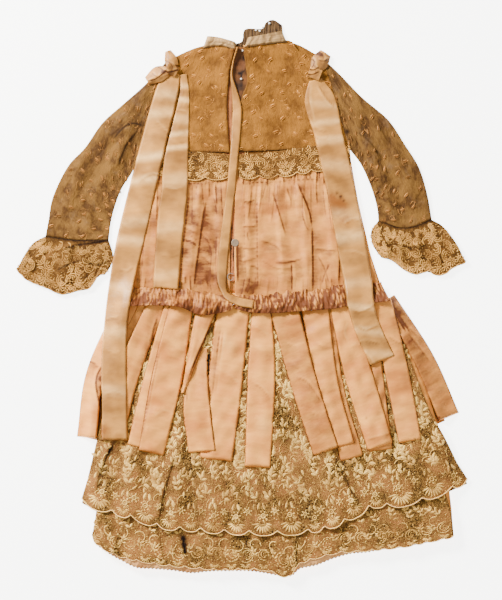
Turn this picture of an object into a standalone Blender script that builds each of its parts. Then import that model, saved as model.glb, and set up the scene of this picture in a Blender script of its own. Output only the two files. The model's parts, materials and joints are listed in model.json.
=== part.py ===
"""Child's silk and lace dress of the 1880s, laid flat with its opening side up.

Every piece of cloth is a thin wall that rests on the pieces below it, from the front row of
tabs on the table up to the ribbons on top. Sizes in the tables are millimetres, x to the
right, y to the neck, z up; the finished meshes are in metres.
"""
import bpy
import bmesh
import numpy as np
from collections import namedtuple
from math import ceil, pi

MM = 0.001
DRESS = "child_dress"

# walls and clearances
LAYER_GAP = 0.3
SEAM_INSET = 0.25
SILK = 1.2
LACE = 1.3
GUIPURE = 2.0
RIBBON = 1.0

# net on which the pile of layers is measured
CELL = 1.5
TABLE_HALF = (330.0, 400.0)
PROBE = 1.2

Fold = namedtuple("Fold", "x_top y_top x_end y_end height half_width")
Station = namedtuple("Station", "x y width")
Tab = namedtuple("Tab", "name top middle end crown")

# colour, roughness
CLOTHS = {
    "yoke_lace": ((0.32, 0.20, 0.09), 0.8),
    "sleeve_lace": ((0.22, 0.15, 0.08), 0.85),
    "guipure": ((0.48, 0.34, 0.18), 0.85),
    "flounce_lace": ((0.42, 0.28, 0.15), 0.85),
    "pink_silk": ((0.52, 0.27, 0.18), 0.5),
    "satin": ((0.62, 0.38, 0.24), 0.35),
    "brown_facing": ((0.08, 0.04, 0.03), 0.8),
    "gauze": ((0.55, 0.48, 0.38), 0.8),
    "pearl": ((0.45, 0.44, 0.42), 0.25),
    "hook_wire": ((0.75, 0.73, 0.7), 0.4),
}

# seam lines shared by neighbouring pieces, as (x, y)
ARMHOLE_LEFT = ((-100, 322), (-113, 281), (-127, 241), (-139, 198))
ARMHOLE_RIGHT = ((108, 325), (123, 281), (134, 241), (144, 203))
WRIST_LEFT = ((-265, 84), (-225, 79), (-180, 79))
WRIST_RIGHT = ((184, 105), (220, 95), (256, 106))
WAIST = ((-148, 6), (190, 10))
WAIST_LOW = ((-150, -6), (198, -3))
SKIRT_TOP = ((-150, -9), (198, -6))

SKIRT_HEM = ((-196, -331), (-165, -350), (-124, -362), (-57, -366), (11, -366), (62, -373),
             (81, -361), (126, -348), (159, -339), (213, -333), (284, -320))
LOWER_HEM = ((-202, -321), (-194, -333), (-165, -348), (-124, -357), (-84, -362), (-30, -366),
             (27, -366), (62, -376), (78, -358), (126, -344), (159, -341), (213, -336), (285, -322))
UPPER_HEM = ((-216, -276), (-194, -286), (-151, -297), (-111, -310), (-57, -315), (11, -319),
             (78, -318), (126, -308), (162, -291), (176, -283), (213, -281), (254, -271), (304, -250))

BODICE_FOLDS = (
    Fold(-111, 133, -117, 15, 2.0, 9),
    Fold(-78, 146, -94, 15, 2.5, 9),
    Fold(-57, 138, -74, 15, 3.0, 9),
    Fold(-27, 146, -30, 22, 2.0, 8),
    Fold(9, 155, 9, 20, 1.5, 8),
    Fold(31, 158, 26, 133, 2.0, 7),
    Fold(49, 155, 58, 20, 2.5, 9),
    Fold(68, 157, 84, 126, 3.0, 8),
    Fold(84, 126, 89, 15, 3.0, 9),
    Fold(119, 150, 126, 20, 2.5, 10),
    Fold(148, 133, 162, 38, 2.5, 10),
)
LEFT_SLEEVE_FOLDS = (
    Fold(-135, 270, -185, 215, 3.0, 14),
    Fold(-150, 235, -185, 160, 3.5, 14),
    Fold(-215, 185, -240, 115, 3.5, 15),
    Fold(-200, 150, -212, 95, 3.0, 12),
)
RIGHT_SLEEVE_FOLDS = (
    Fold(140, 275, 190, 220, 3.0, 14),
    Fold(155, 235, 190, 165, 3.5, 14),
    Fold(205, 200, 232, 130, 3.5, 15),
    Fold(195, 140, 205, 115, 3.0, 12),
)
LEFT_CUFF_FOLDS = (
    Fold(-272, 62, -290, 40, 3.5, 8),
    Fold(-258, 62, -264, 22, 3.5, 8),
    Fold(-236, 62, -240, 14, 4.0, 9),
    Fold(-212, 62, -212, 20, 3.5, 9),
    Fold(-190, 66, -194, 38, 3.0, 7),
)
RIGHT_CUFF_FOLDS = (
    Fold(190, 88, 196, 60, 3.0, 7),
    Fold(212, 82, 212, 50, 3.5, 9),
    Fold(236, 84, 240, 42, 4.0, 9),
    Fold(258, 88, 268, 40, 3.5, 8),
    Fold(272, 86, 292, 52, 3.5, 8),
)
UPPER_FLOUNCE_FOLDS = (
    Fold(-188, -150, -208, -272, 3.0, 14),
    Fold(-138, -150, -158, -292, 5.0, 18),
    Fold(-82, -150, -88, -305, 5.0, 14),
    Fold(-43, -150, -38, -312, 3.0, 15),
    Fold(-3, -150, -3, -314, 4.0, 16),
    Fold(40, -150, 51, -314, 4.0, 18),
    Fold(98, -150, 128, -304, 6.0, 18),
    Fold(140, -190, 168, -284, 3.0, 12),
    Fold(178, -150, 205, -280, 4.0, 16),
    Fold(232, -150, 242, -270, 4.0, 14),
    Fold(262, -180, 286, -252, 4.0, 14),
)
LOWER_FLOUNCE_FOLDS = (
    Fold(-186, -290, -180, -338, 2.5, 12),
    Fold(-140, -290, -137, -352, 3.0, 14),
    Fold(-97, -290, -92, -358, 3.5, 12),
    Fold(-42, -290, -36, -362, 3.0, 14),
    Fold(16, -290, 20, -364, 3.0, 12),
    Fold(54, -290, 60, -370, 3.5, 11),
    Fold(100, -290, 108, -345, 3.0, 14),
    Fold(160, -290, 166, -338, 3.0, 14),
    Fold(214, -280, 222, -332, 3.0, 13),
    Fold(258, -270, 268, -322, 2.5, 11),
)
SHIRRING_BULGES = (
    Fold(-76, 0, -40, -12, 4.5, 11),
    Fold(106, 0, 142, 6, 4.0, 10),
)

# top, middle and end of each tab as (x, y, width), from the lowest layer to the highest
TABS = (
    Tab("tab_02", (-142, -6, 34), (-167, -95, 32), (-174, -186, 33), 1.5),
    Tab("tab_03", (-113, -6, 28), (-150, -92, 31), (-172, -178, 30), 2.0),
    Tab("tab_01", (-152, -4, 28), (-196, -99, 27), (-209, -188, 28), 2.5),
    Tab("tab_12", (108, -4, 32), (121, -114, 31), (148, -215, 32), 1.5),
    Tab("tab_14", (162, -3, 30), (174, -100, 32), (187, -204, 32), 1.5),
    Tab("tab_16", (197, 0, 20), (245, -82, 29), (279, -160, 30), 3.0),
    Tab("tab_04", (-90, -7, 28), (-118, -110, 30), (-139, -200, 32), 1.5),
    Tab("tab_09", (27, -7, 27), (26, -110, 38), (21, -227, 35), 2.0),
    Tab("tab_11", (97, -6, 38), (113, -112, 33), (136, -198, 32), 2.0),
    Tab("tab_15", (186, -2, 30), (208, -97, 33), (226, -192, 31), 2.0),
    Tab("tab_05", (-81, -8, 32), (-101, -108, 42), (-122, -208, 35), 2.5),
    Tab("tab_08", (-11, -8, 45), (-23, -115, 48), (-35, -217, 45), 2.0),
    Tab("tab_07", (-51, -66, 9), (-61, -134, 35), (-54, -206, 37), 1.5),
    Tab("tab_06", (-47, -9, 29), (-64, -72, 17), (-80, -128, 4), 3.0),
    Tab("tab_10", (55, -6, 40), (83, -113, 37), (113, -206, 36), 2.5),
    Tab("tab_13", (130, -3, 27), (156, -100, 38), (186, -199, 36), 2.5),
)

STREAMER_LEFT_LONG = (Station(-94, 303, 22), Station(-101, 279, 31), Station(-123, 194, 35),
                      Station(-149, 86, 37), Station(-160, 32, 35), Station(-168, -20, 33),
                      Station(-172, -80, 34), Station(-171, -191, 36))
STREAMER_LEFT_SHORT = (Station(-80, 302, 12), Station(-78, 272, 14), Station(-88, 194, 32),
                       Station(-91, 146, 36), Station(-97, 92, 36), Station(-103, 13, 35))
STREAMER_RIGHT = (Station(99, 295, 18), Station(105, 268, 42), Station(117, 221, 39),
                  Station(135, 140, 39), Station(155, 32, 39), Station(160, -9, 36),
                  Station(170, -43, 35), Station(189, -84, 35))
CENTRE_RIBBON = (Station(-3, 344, 11), Station(-13, 315, 10), Station(-9, 275, 12),
                 Station(-5, 248, 12), Station(-14, 160, 12), Station(-24, 65, 14),
                 Station(-28, 28, 13), Station(-22, 6, 12), Station(-5, -5, 11), Station(15, -7, 11))
LOOP_LEFT_LOW = (Station(-100, 306, 14), Station(-113, 302, 22), Station(-128, 293, 12))
LOOP_LEFT_UP = (Station(-93, 313, 16), Station(-96, 322, 17), Station(-100, 334, 8))
LOOP_RIGHT = (Station(99, 308, 16), Station(105, 319, 24), Station(113, 331, 16))
KNOT_LEFT = (Station(-101, 312, 14), Station(-87, 304, 15))
KNOT_RIGHT = (Station(90, 306, 14), Station(106, 300, 15))
FACING = (Station(3, 338, 20), Station(-5, 300, 34), Station(-9, 240, 28), Station(-10, 120, 26),
          Station(-10, 22, 24))

BUTTON_PLACE = (-9.3, 75)
BUTTON_RADIUS = 5.4
BUTTON_HEIGHT = 2.4
HOOK_WIRE = 0.55
HOOK_PATH = ((-12, 33), (-16, 34), (-19, 31.5), (-19, 27), (-16, 24.5), (-12.5, 25.5), (-11.5, 29))


def start_clean():
    for item in list(bpy.data.objects):
        bpy.data.objects.remove(item, do_unlink=True)
    collection = bpy.data.collections.new(DRESS)
    bpy.context.scene.collection.children.link(collection)
    return collection


def make_material(name):
    colour, roughness = CLOTHS[name]
    material = bpy.data.materials.new(name)
    material.use_nodes = True
    shader = material.node_tree.nodes["Principled BSDF"]
    shader.inputs["Base Color"].default_value = (*colour, 1.0)
    shader.inputs["Roughness"].default_value = roughness
    shader.inputs["Metallic"].default_value = 0.6 if name == "hook_wire" else 0.0
    return material


def soft_line(points, samples):
    """Evenly spaced points along a soft curve through a few rows of numbers."""
    rows = np.array(points, float)
    padded = np.vstack([2 * rows[0] - rows[1], rows, 2 * rows[-1] - rows[-2]])
    fine = []
    for a, b, c, d in zip(padded, padded[1:], padded[2:], padded[3:]):
        for t in np.arange(12) / 12:
            fine.append(0.5 * (2 * b + (c - a) * t + (2 * a - 5 * b + 4 * c - d) * t ** 2
                               + (3 * b - a - 3 * c + d) * t ** 3))
    fine = np.array(fine + [rows[-1]])
    steps = np.linalg.norm(np.diff(fine[:, :2], axis=0), axis=1)
    run = np.concatenate([[0], np.cumsum(steps)])
    at = np.linspace(0, run[-1], samples)
    return np.column_stack([np.interp(at, run, column) for column in fine.T])


def panel(top, hem, left=(), right=(), columns=8, rows=6, crowd=1.0):
    """Net of points inside four edges; left and right give only the points between corners."""
    across = np.linspace(0, 1, columns + 1)[None, :, None]
    down = (1 - (1 - np.linspace(0, 1, rows + 1)) ** crowd)[:, None, None]
    upper = soft_line(top, columns + 1)[None]
    lower = soft_line(hem, columns + 1)[None]
    side_runs = []
    for start, middle, end in ((top[0], left, hem[0]), (top[-1], right, hem[-1])):
        fine = soft_line((start, *middle, end), 201)
        side_runs.append(np.column_stack([
            np.interp(down[:, 0, 0], np.linspace(0, 1, 201), column) for column in fine.T])[:, None])
    side_left, side_right = side_runs
    corners = ((1 - down) * ((1 - across) * upper[:, :1] + across * upper[:, -1:])
               + down * ((1 - across) * lower[:, :1] + across * lower[:, -1:]))
    net = (1 - down) * upper + down * lower + (1 - across) * side_left + across * side_right - corners
    return pull_in(net)


def strip(stations, columns=2, rows=8):
    """Net of points along a ribbon given by its middle line and its width."""
    line = soft_line(stations, rows + 1)
    along = np.gradient(line[:, :2], axis=0)
    along /= np.linalg.norm(along, axis=1, keepdims=True)
    sideways = np.column_stack([-along[:, 1], along[:, 0]])
    share = np.linspace(-0.5, 0.5, columns + 1)
    offset = share[None, :, None] * (line[:, 2:] * sideways)[:, None, :]
    return line[:, None, :2] + offset


def pull_in(net):
    """Draw the border of a net in by the seam inset, so that neighbours stay apart."""
    drawn = net.copy()
    for edge, inner in ((0, 1), (-1, -2)):
        for view, source in ((drawn, net), (drawn.transpose(1, 0, 2), net.transpose(1, 0, 2))):
            step = source[inner] - source[edge]
            length = np.maximum(np.linalg.norm(step, axis=1, keepdims=True), 1e-6)
            view[edge] += step / length * SEAM_INSET
    return drawn


def scallop(net, count, depth):
    """Lift the hem into notches between rounded lobes."""
    phase = np.linspace(0, count, net.shape[1])
    notch = depth * (1 - np.abs(np.sin(pi * phase))) ** 1.5
    net[-1, :, 1] += notch
    return net


def fold_heights(net, folds):
    """Height of rounded ridges, each along a straight line, faded out at its ends."""
    heights = np.zeros(net.shape[:2])
    for fold in folds:
        start = np.array((fold.x_top, fold.y_top), float)
        run = np.array((fold.x_end, fold.y_end), float) - start
        share = np.clip(((net - start) @ run) / (run @ run), 0, 1)
        away = np.linalg.norm(net - start - share[..., None] * run, axis=2)
        shape = np.cos(pi / 2 * np.clip(away / fold.half_width, 0, 1)) ** 2
        heights = np.maximum(heights, fold.height * shape)
    return heights


def crown_heights(net, height):
    """Pillow shape of a doubled band, highest along its middle."""
    share = np.linspace(-1, 1, net.shape[1])
    return np.broadcast_to(height * (1 - share ** 2), net.shape[:2])


def wave_heights(net, count, height, grow=1.0):
    """Even gathers across a piece, growing from its top to its hem."""
    phase = np.linspace(0, count, net.shape[1])
    down = np.linspace(0, 1, net.shape[0])[:, None]
    return height * (0.5 - 0.5 * np.cos(2 * pi * phase)) * (1 - grow + grow * down)


class Pile:
    """Height of all that already lies on the table, kept on a square net."""

    def __init__(self):
        size = [int(2 * half / CELL) + 1 for half in TABLE_HALF]
        self.top = np.full(size, -LAYER_GAP)

    def cells(self, points):
        places = np.rint((points[:, :2] + np.array(TABLE_HALF)) / CELL).astype(int)
        return places[:, 0], places[:, 1]

    def height(self, points):
        return self.top[self.cells(points)]

    def add(self, points):
        layer = np.full(self.top.shape, -np.inf)
        np.maximum.at(layer, self.cells(points), points[:, 2])
        spread = layer.copy()
        for axis in (0, 1):
            wide = spread.copy()
            for shift in (-1, 1):
                wide = np.maximum(wide, np.roll(spread, shift, axis))
            spread = wide
        self.top = np.maximum(self.top, spread)


PROBE_SHARES = {}


def probe(corners):
    """Points spread over one triangle, close enough to feel every ridge below it."""
    longest = max(np.linalg.norm(corners[i] - corners[i - 1]) for i in range(3))
    count = max(1, ceil(longest / PROBE))
    if count not in PROBE_SHARES:
        PROBE_SHARES[count] = np.array([(i, j, count - i - j) for i in range(count + 1)
                                        for j in range(count + 1 - i)]) / count
    return PROBE_SHARES[count] @ corners


def even_out(heights):
    """One pass that softens heights along the rows and columns of a net."""
    padded = np.pad(heights, 1, mode="edge")
    beside = padded[1:-1, :-2] + padded[1:-1, 2:] + padded[:-2, 1:-1] + padded[2:, 1:-1]
    return 0.5 * heights + 0.125 * beside


class Sheet:
    """One piece of cloth: its net, its own folds, its wall and its colour."""

    def __init__(self, name, cloth, wall, net, relief=0.0, ease=2, keep=None):
        self.name = name
        self.cloth = cloth
        self.wall = wall
        self.ease = ease
        rows, columns = net.shape[0] - 1, net.shape[1] - 1
        self.shape = net.shape[:2]
        self.flat = net[::-1].reshape(-1, 2)
        self.relief = (np.zeros(self.shape) + relief)[::-1]
        self.mesh = bmesh.new()
        bmesh.ops.create_grid(self.mesh, x_segments=columns, y_segments=rows, size=1.0)
        if keep is not None:
            self.mesh.faces.ensure_lookup_table()
            spare = [face for face, kept in zip(self.mesh.faces, keep[::-1].ravel()) if not kept]
            bmesh.ops.delete(self.mesh, geom=spare, context="FACES_ONLY")
        bmesh.ops.triangulate(self.mesh, faces=self.mesh.faces[:], quad_method="FIXED")
        self.mesh.verts.ensure_lookup_table()
        self.triangles = [[vert.index for vert in face.verts] for face in self.mesh.faces]

    def settle(self, pile):
        """Rest on the pile: follow it, keep the folds, and let no triangle cut what is below."""
        base = (pile.height(self.flat) + LAYER_GAP).reshape(self.shape)
        for _ in range(2):
            for _ in range(self.ease):
                base = even_out(base)
            points = np.column_stack([self.flat, (base + self.relief).ravel()])
            lift = np.zeros(len(points))
            for corners in self.triangles:
                tried = probe(points[corners])
                short = np.max(pile.height(tried) + LAYER_GAP - tried[:, 2])
                lift[corners] = np.maximum(lift[corners], short)
            base = base + lift.reshape(self.shape)
        self.points = np.column_stack([self.flat, (base + self.relief).ravel()])

    def cover(self, pile):
        raised = self.points + (0, 0, self.wall)
        pile.add(np.vstack([probe(raised[corners]) for corners in self.triangles]))

    def build(self, middle, collection, material):
        for vert, place in zip(self.mesh.verts, self.points):
            vert.co = (place - middle) * MM
        loose = [vert for vert in self.mesh.verts if not vert.link_faces]
        bmesh.ops.delete(self.mesh, geom=loose, context="VERTS")
        grown = bmesh.ops.extrude_face_region(self.mesh, geom=self.mesh.faces[:])
        raised = [item for item in grown["geom"] if isinstance(item, bmesh.types.BMVert)]
        bmesh.ops.translate(self.mesh, verts=raised, vec=(0, 0, self.wall * MM))
        bmesh.ops.recalc_face_normals(self.mesh, faces=self.mesh.faces[:])
        return add_object(self.name, self.mesh, collection, material)


def add_object(name, mesh, collection, material):
    data = bpy.data.meshes.new(name)
    mesh.to_mesh(data)
    mesh.free()
    data.shade_smooth()
    data.set_sharp_from_angle(angle=0.7)
    data.materials.append(material)
    item = bpy.data.objects.new(name, data)
    collection.objects.link(item)
    return item


def body_fronts():
    """Front of the dress above the waist, flat on the table."""
    sleeve_left, sleeve_right, cuff_left, cuff_right = sleeve_nets(rows=8, cuff_columns=8, cuff_rows=2)
    yoke = panel(ARMHOLE_LEFT[:1] + ((-50, 341), (4, 333), (62, 346)) + ARMHOLE_RIGHT[:1],
                 (ARMHOLE_LEFT[-1], ARMHOLE_RIGHT[-1]), ARMHOLE_LEFT[1:-1], ARMHOLE_RIGHT[1:-1], 10, 8)
    bodice = panel((ARMHOLE_LEFT[-1], ARMHOLE_RIGHT[-1]), WAIST, ((-144, 106), (-147, 52)),
                   ((158, 126), (170, 72)), 8, 4)
    band = panel(WAIST, WAIST_LOW, columns=12, rows=1)
    return [Sheet("yoke_front", "yoke_lace", LACE, yoke),
            Sheet("bodice_front", "pink_silk", SILK, bodice),
            Sheet("waist_shirring_front", "pink_silk", SILK, band),
            Sheet("sleeve_left_under", "sleeve_lace", LACE, sleeve_left),
            Sheet("sleeve_right_under", "sleeve_lace", LACE, sleeve_right),
            Sheet("cuff_left_under", "guipure", GUIPURE, cuff_left),
            Sheet("cuff_right_under", "guipure", GUIPURE, cuff_right)]


def sleeve_nets(rows, cuff_columns, cuff_rows):
    left = panel(ARMHOLE_LEFT, WRIST_LEFT,
                 ((-128, 291), (-158, 264), (-188, 237), (-212, 203), (-235, 178), (-255, 137), (-261, 105)),
                 ((-147, 173), (-162, 149), (-171, 126), (-177, 103)), 8, rows)
    right = panel(ARMHOLE_RIGHT[::-1], WRIST_RIGHT, ((161, 180), (174, 151), (182, 124)),
                  ((132, 302), (162, 271), (197, 241), (220, 207), (239, 176), (250, 140)), 8, rows)
    cuff_left = panel(WRIST_LEFT, ((-304, 38), (-289, 24), (-262, 13), (-243, 2), (-221, 10),
                                   (-205, 14), (-194, 30), (-185, 32)),
                      ((-281, 75), (-293, 59)), ((-174, 59), (-177, 44)), cuff_columns, cuff_rows)
    cuff_right = panel(WRIST_RIGHT, ((188, 55), (202, 51), (219, 38), (235, 32), (254, 36),
                                     (267, 30), (284, 40), (302, 48)),
                       ((174, 90), (177, 71)), ((271, 97), (289, 74)), cuff_columns, cuff_rows)
    return left, right, cuff_left, cuff_right


def front_tabs(count=12, slit=2.5):
    """Front row of tabs, joined along their sewn tops like a comb."""
    net = panel(SKIRT_TOP, ((-209, -188), (-100, -212), (40, -225), (160, -212), (274, -165)),
                ((-190, -90), ), ((240, -80), ), 2 * count - 1, 4)
    keep = np.ones((4, 2 * count - 1), bool)
    for gap in range(1, 2 * count - 1, 2):
        middle = net[:, gap:gap + 2].mean(axis=1)
        along = (net[:, gap + 1] - net[:, gap])
        along /= np.linalg.norm(along, axis=1, keepdims=True)
        net[:, gap] = middle - along * slit / 2
        net[:, gap + 1] = middle + along * slit / 2
        keep[1:, gap] = False
    return Sheet("tabs_front", "pink_silk", SILK, net, keep=keep)


def skirt(name, columns, rows):
    net = panel(SKIRT_TOP, SKIRT_HEM, ((-167, -70), (-184, -164), (-194, -272)),
                ((234, -83), (265, -178), (281, -272)), columns, rows)
    return Sheet(name, "pink_silk", SILK, net)


def upper_flounce(name, columns, rows, lobes=0, folds=()):
    net = panel(((-152, -11), (25, -11), (200, -8)), UPPER_HEM, ((-176, -110), (-197, -198)),
                ((247, -137), (275, -191)), columns, rows, crowd=1.3)
    if lobes:
        scallop(net, lobes, 6.5)
    return Sheet(name, "flounce_lace", LACE, net, fold_heights(net, folds))


def lower_flounce(name, columns, rows, folds=()):
    net = panel(((-181, -200), (30, -205), (256, -200)), LOWER_HEM, ((-192, -259), (-198, -299)),
                ((273, -259), (282, -292)), columns, rows, crowd=1.3)
    return Sheet(name, "flounce_lace", LACE, net, fold_heights(net, folds))


def hem_frill():
    net = panel(((-188, -300), (-110, -325), (27, -335), (126, -318), (213, -305), (276, -295)),
                SKIRT_HEM, columns=48, rows=1)
    return Sheet("hem_frill_back", "pink_silk", SILK, net, wave_heights(net, 12, 2.0))


def body_backs():
    """The two halves of the back, apart along the opening."""
    yoke_left = panel((ARMHOLE_LEFT[0], (-78, 330), (-50, 341), (-7, 342)), (ARMHOLE_LEFT[-1], (-16, 196)),
                      ARMHOLE_LEFT[1:-1], ((-14, 319), (-18, 295), (-20, 254), (-18, 220)), 5, 8)
    yoke_right = panel(((1, 341), (61, 348), (78, 333), ARMHOLE_RIGHT[0]), ((-5, 197), ARMHOLE_RIGHT[-1]),
                       ((4, 319), (7, 296), (5, 285), (-1, 268), (-2, 230)), ARMHOLE_RIGHT[1:-1], 6, 8)
    bodice_left = panel((ARMHOLE_LEFT[-1], (-16, 196)), ((-148, 6), (-16, 8)),
                        ((-144, 106), (-147, 52)), (), 18, 6)
    bodice_right = panel(((-3, 197), ARMHOLE_RIGHT[-1]), ((-3, 8), (190, 10)),
                         (), ((150, 167), (158, 126), (169, 79), (177, 45)), 28, 6)
    return [Sheet("yoke_back_left", "yoke_lace", LACE, yoke_left),
            Sheet("yoke_back_right", "yoke_lace", LACE, yoke_right),
            Sheet("bodice_back_left", "pink_silk", SILK, bodice_left,
                  fold_heights(bodice_left, BODICE_FOLDS)),
            Sheet("bodice_back_right", "pink_silk", SILK, bodice_right,
                  fold_heights(bodice_right, BODICE_FOLDS))]


def upper_sleeves():
    left, right, cuff_left, cuff_right = sleeve_nets(rows=12, cuff_columns=16, cuff_rows=4)
    return [Sheet("sleeve_left_upper", "sleeve_lace", LACE, left, fold_heights(left, LEFT_SLEEVE_FOLDS)),
            Sheet("sleeve_right_upper", "sleeve_lace", LACE, right, fold_heights(right, RIGHT_SLEEVE_FOLDS)),
            Sheet("cuff_left_upper", "guipure", GUIPURE, cuff_left, fold_heights(cuff_left, LEFT_CUFF_FOLDS)),
            Sheet("cuff_right_upper", "guipure", GUIPURE, cuff_right,
                  fold_heights(cuff_right, RIGHT_CUFF_FOLDS))]


def opening_facing():
    return Sheet("opening_facing", "brown_facing", SILK, strip(FACING, 3, 12))


def collar_front():
    net = panel(((-46, 345), (-3, 345), (4, 363), (27, 364), (32, 372), (42, 376), (54, 369)),
                ((-46, 333), (4, 328), (57, 342)), columns=18, rows=2)
    return Sheet("collar_front", "gauze", LACE, net)


def collar_backs():
    left = panel(((-47, 354), (-30, 352), (-8, 345)), ((-53, 337), (-30, 340), (-8, 334)), columns=8, rows=2)
    right = panel(((8, 352), (31, 356), (54, 361)), ((3, 338), (30, 342), (61, 345)), columns=10, rows=2)
    return [Sheet("collar_back_left", "gauze", LACE, left, wave_heights(left, 3, 1.5, 0.0)),
            Sheet("collar_back_right", "gauze", LACE, right, wave_heights(right, 4, 1.5, 0.0))]


def lace_bands():
    left = panel(((-139, 195), (-70, 198), (-16, 194)), ((-140, 165), (-70, 159), (-16, 160)),
                 columns=15, rows=2)
    right = panel(((-4, 194), (51, 199), (103, 206), (145, 205)),
                  ((-4, 160), (51, 163), (105, 171), (148, 176)), columns=18, rows=2)
    scallop(left, 5, 4.5)
    scallop(right, 6, 4.5)
    return [Sheet("lace_band_left", "yoke_lace", LACE, left),
            Sheet("lace_band_right", "yoke_lace", LACE, right)]


def waist_shirring():
    left = panel(((-155, 14), (-84, 12), (-34, 5), (-12, 4)),
                 ((-157, -10), (-90, -10), (-57, -22), (-22, -18), (-12, -14)), columns=24, rows=3)
    right = panel(((-9, 4), (27, 3), (103, 11), (139, 19), (188, 20)),
                  ((-9, -14), (27, -20), (119, -14), (142, -10), (199, -3)), columns=36, rows=3)
    return [Sheet("waist_shirring_left", "pink_silk", SILK, left,
                  wave_heights(left, 8, 2.0, 0.0) + fold_heights(left, SHIRRING_BULGES)),
            Sheet("waist_shirring_right", "pink_silk", SILK, right,
                  wave_heights(right, 12, 2.0, 0.0) + fold_heights(right, SHIRRING_BULGES))]


def back_tabs():
    sheets = []
    for tab in TABS:
        net = strip((tab.top, tab.middle, tab.end), 3, 8)
        sheets.append(Sheet(tab.name, "pink_silk", SILK, net, crown_heights(net, tab.crown)))
    return sheets


def ribbon(name, stations, columns, rows, crown):
    net = strip(stations, columns, rows)
    return Sheet(name, "satin", RIBBON, net, crown_heights(net, crown))


def ribbons():
    return [ribbon("centre_ribbon", CENTRE_RIBBON, 2, 26, 0.8),
            ribbon("streamer_left_short", STREAMER_LEFT_SHORT, 3, 16, 1.0),
            ribbon("streamer_left_long", STREAMER_LEFT_LONG, 3, 22, 1.0),
            ribbon("streamer_right", STREAMER_RIGHT, 3, 20, 1.0),
            ribbon("bow_loop_left_low", LOOP_LEFT_LOW, 4, 4, 4.0),
            ribbon("bow_loop_left_up", LOOP_LEFT_UP, 4, 4, 3.5),
            ribbon("bow_loop_right", LOOP_RIGHT, 4, 4, 4.0),
            ribbon("knot_left", KNOT_LEFT, 5, 5, 3.5),
            ribbon("knot_right", KNOT_RIGHT, 5, 5, 3.5)]


def resting_height(pile, centre, radius):
    reach = np.arange(-radius, radius + CELL, CELL)
    spots = np.array([(centre[0] + dx, centre[1] + dy) for dx in reach for dy in reach])
    return float(np.max(pile.height(spots))) + LAYER_GAP


def button(height, middle, collection, material):
    mesh = bmesh.new()
    made = bmesh.ops.create_cone(mesh, cap_ends=True, segments=20, radius1=BUTTON_RADIUS * MM,
                                 radius2=0.82 * BUTTON_RADIUS * MM, depth=BUTTON_HEIGHT * MM)
    place = np.array((*BUTTON_PLACE, height + BUTTON_HEIGHT / 2)) - middle
    bmesh.ops.translate(mesh, verts=made["verts"], vec=place * MM)
    return add_object("button", mesh, collection, material)


def hook(height, middle, collection, material):
    curve = bpy.data.curves.new("hook", "CURVE")
    curve.dimensions = "3D"
    curve.bevel_depth = HOOK_WIRE * MM
    curve.bevel_resolution = 1
    curve.use_fill_caps = True
    line = curve.splines.new("POLY")
    route = soft_line(HOOK_PATH, 14)
    line.points.add(len(route) - 1)
    for point, (x, y) in zip(line.points, route):
        point.co = (*((np.array((x, y, height)) - middle) * MM), 1)
    curve.materials.append(material)
    item = bpy.data.objects.new("hook", curve)
    collection.objects.link(item)
    return item


def lay(pile, sheets, together=False):
    """Lay sheets one after another, or side by side where they only meet at seams."""
    groups = [sheets] if together else [[sheet] for sheet in sheets]
    for group in groups:
        for sheet in group:
            sheet.settle(pile)
        for sheet in group:
            sheet.cover(pile)
    return sheets


def outline_middle(sheets):
    """Middle of the outline of the laid dress on the table, which becomes the origin."""
    points = np.vstack([sheet.points for sheet in sheets])
    middle = (points.min(axis=0) + points.max(axis=0)) / 2
    return middle * (1, 1, 0)


def make_dress():
    collection = start_clean()
    materials = {name: make_material(name) for name in CLOTHS}
    pile = Pile()
    laid = []
    laid += lay(pile, body_fronts() + [front_tabs()], together=True)
    laid += lay(pile, [upper_flounce("flounce_upper_front", 12, 5),
                       lower_flounce("flounce_lower_front", 12, 3),
                       skirt("skirt_front", 8, 5),
                       skirt("skirt_back", 12, 6),
                       hem_frill(),
                       lower_flounce("flounce_lower_back", 44, 4, LOWER_FLOUNCE_FOLDS),
                       upper_flounce("flounce_upper_back", 54, 8, 18, UPPER_FLOUNCE_FOLDS)])
    laid += lay(pile, back_tabs())
    laid += lay(pile, [collar_front(), opening_facing()])
    button_seat = resting_height(pile, BUTTON_PLACE, BUTTON_RADIUS)
    laid += lay(pile, body_backs() + upper_sleeves(), together=True)
    hook_seat = max(resting_height(pile, point, HOOK_WIRE) for point in HOOK_PATH) + HOOK_WIRE
    laid += lay(pile, collar_backs() + lace_bands() + waist_shirring())
    laid += lay(pile, ribbons())
    middle = outline_middle(laid)
    for sheet in laid:
        sheet.build(middle, collection, materials[sheet.cloth])
    button(button_seat, middle, collection, materials["pearl"])
    hook(hook_seat, middle, collection, materials["hook_wire"])


make_dress()
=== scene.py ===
"""Looks of a child's silk and lace dress of the 1880s, laid flat with its opening side up.

Tables are in millimetres as the dress lies, from the waist between the two halves of the back:
x to the right, y to the neck, z up. Shades, stains and gleams are shares.
"""
import json
from collections import namedtuple
from math import cos, pi, sin, tau

import bmesh
import bpy
import numpy as np
from mathutils import Matrix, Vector
from mathutils.bvhtree import BVHTree


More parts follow.
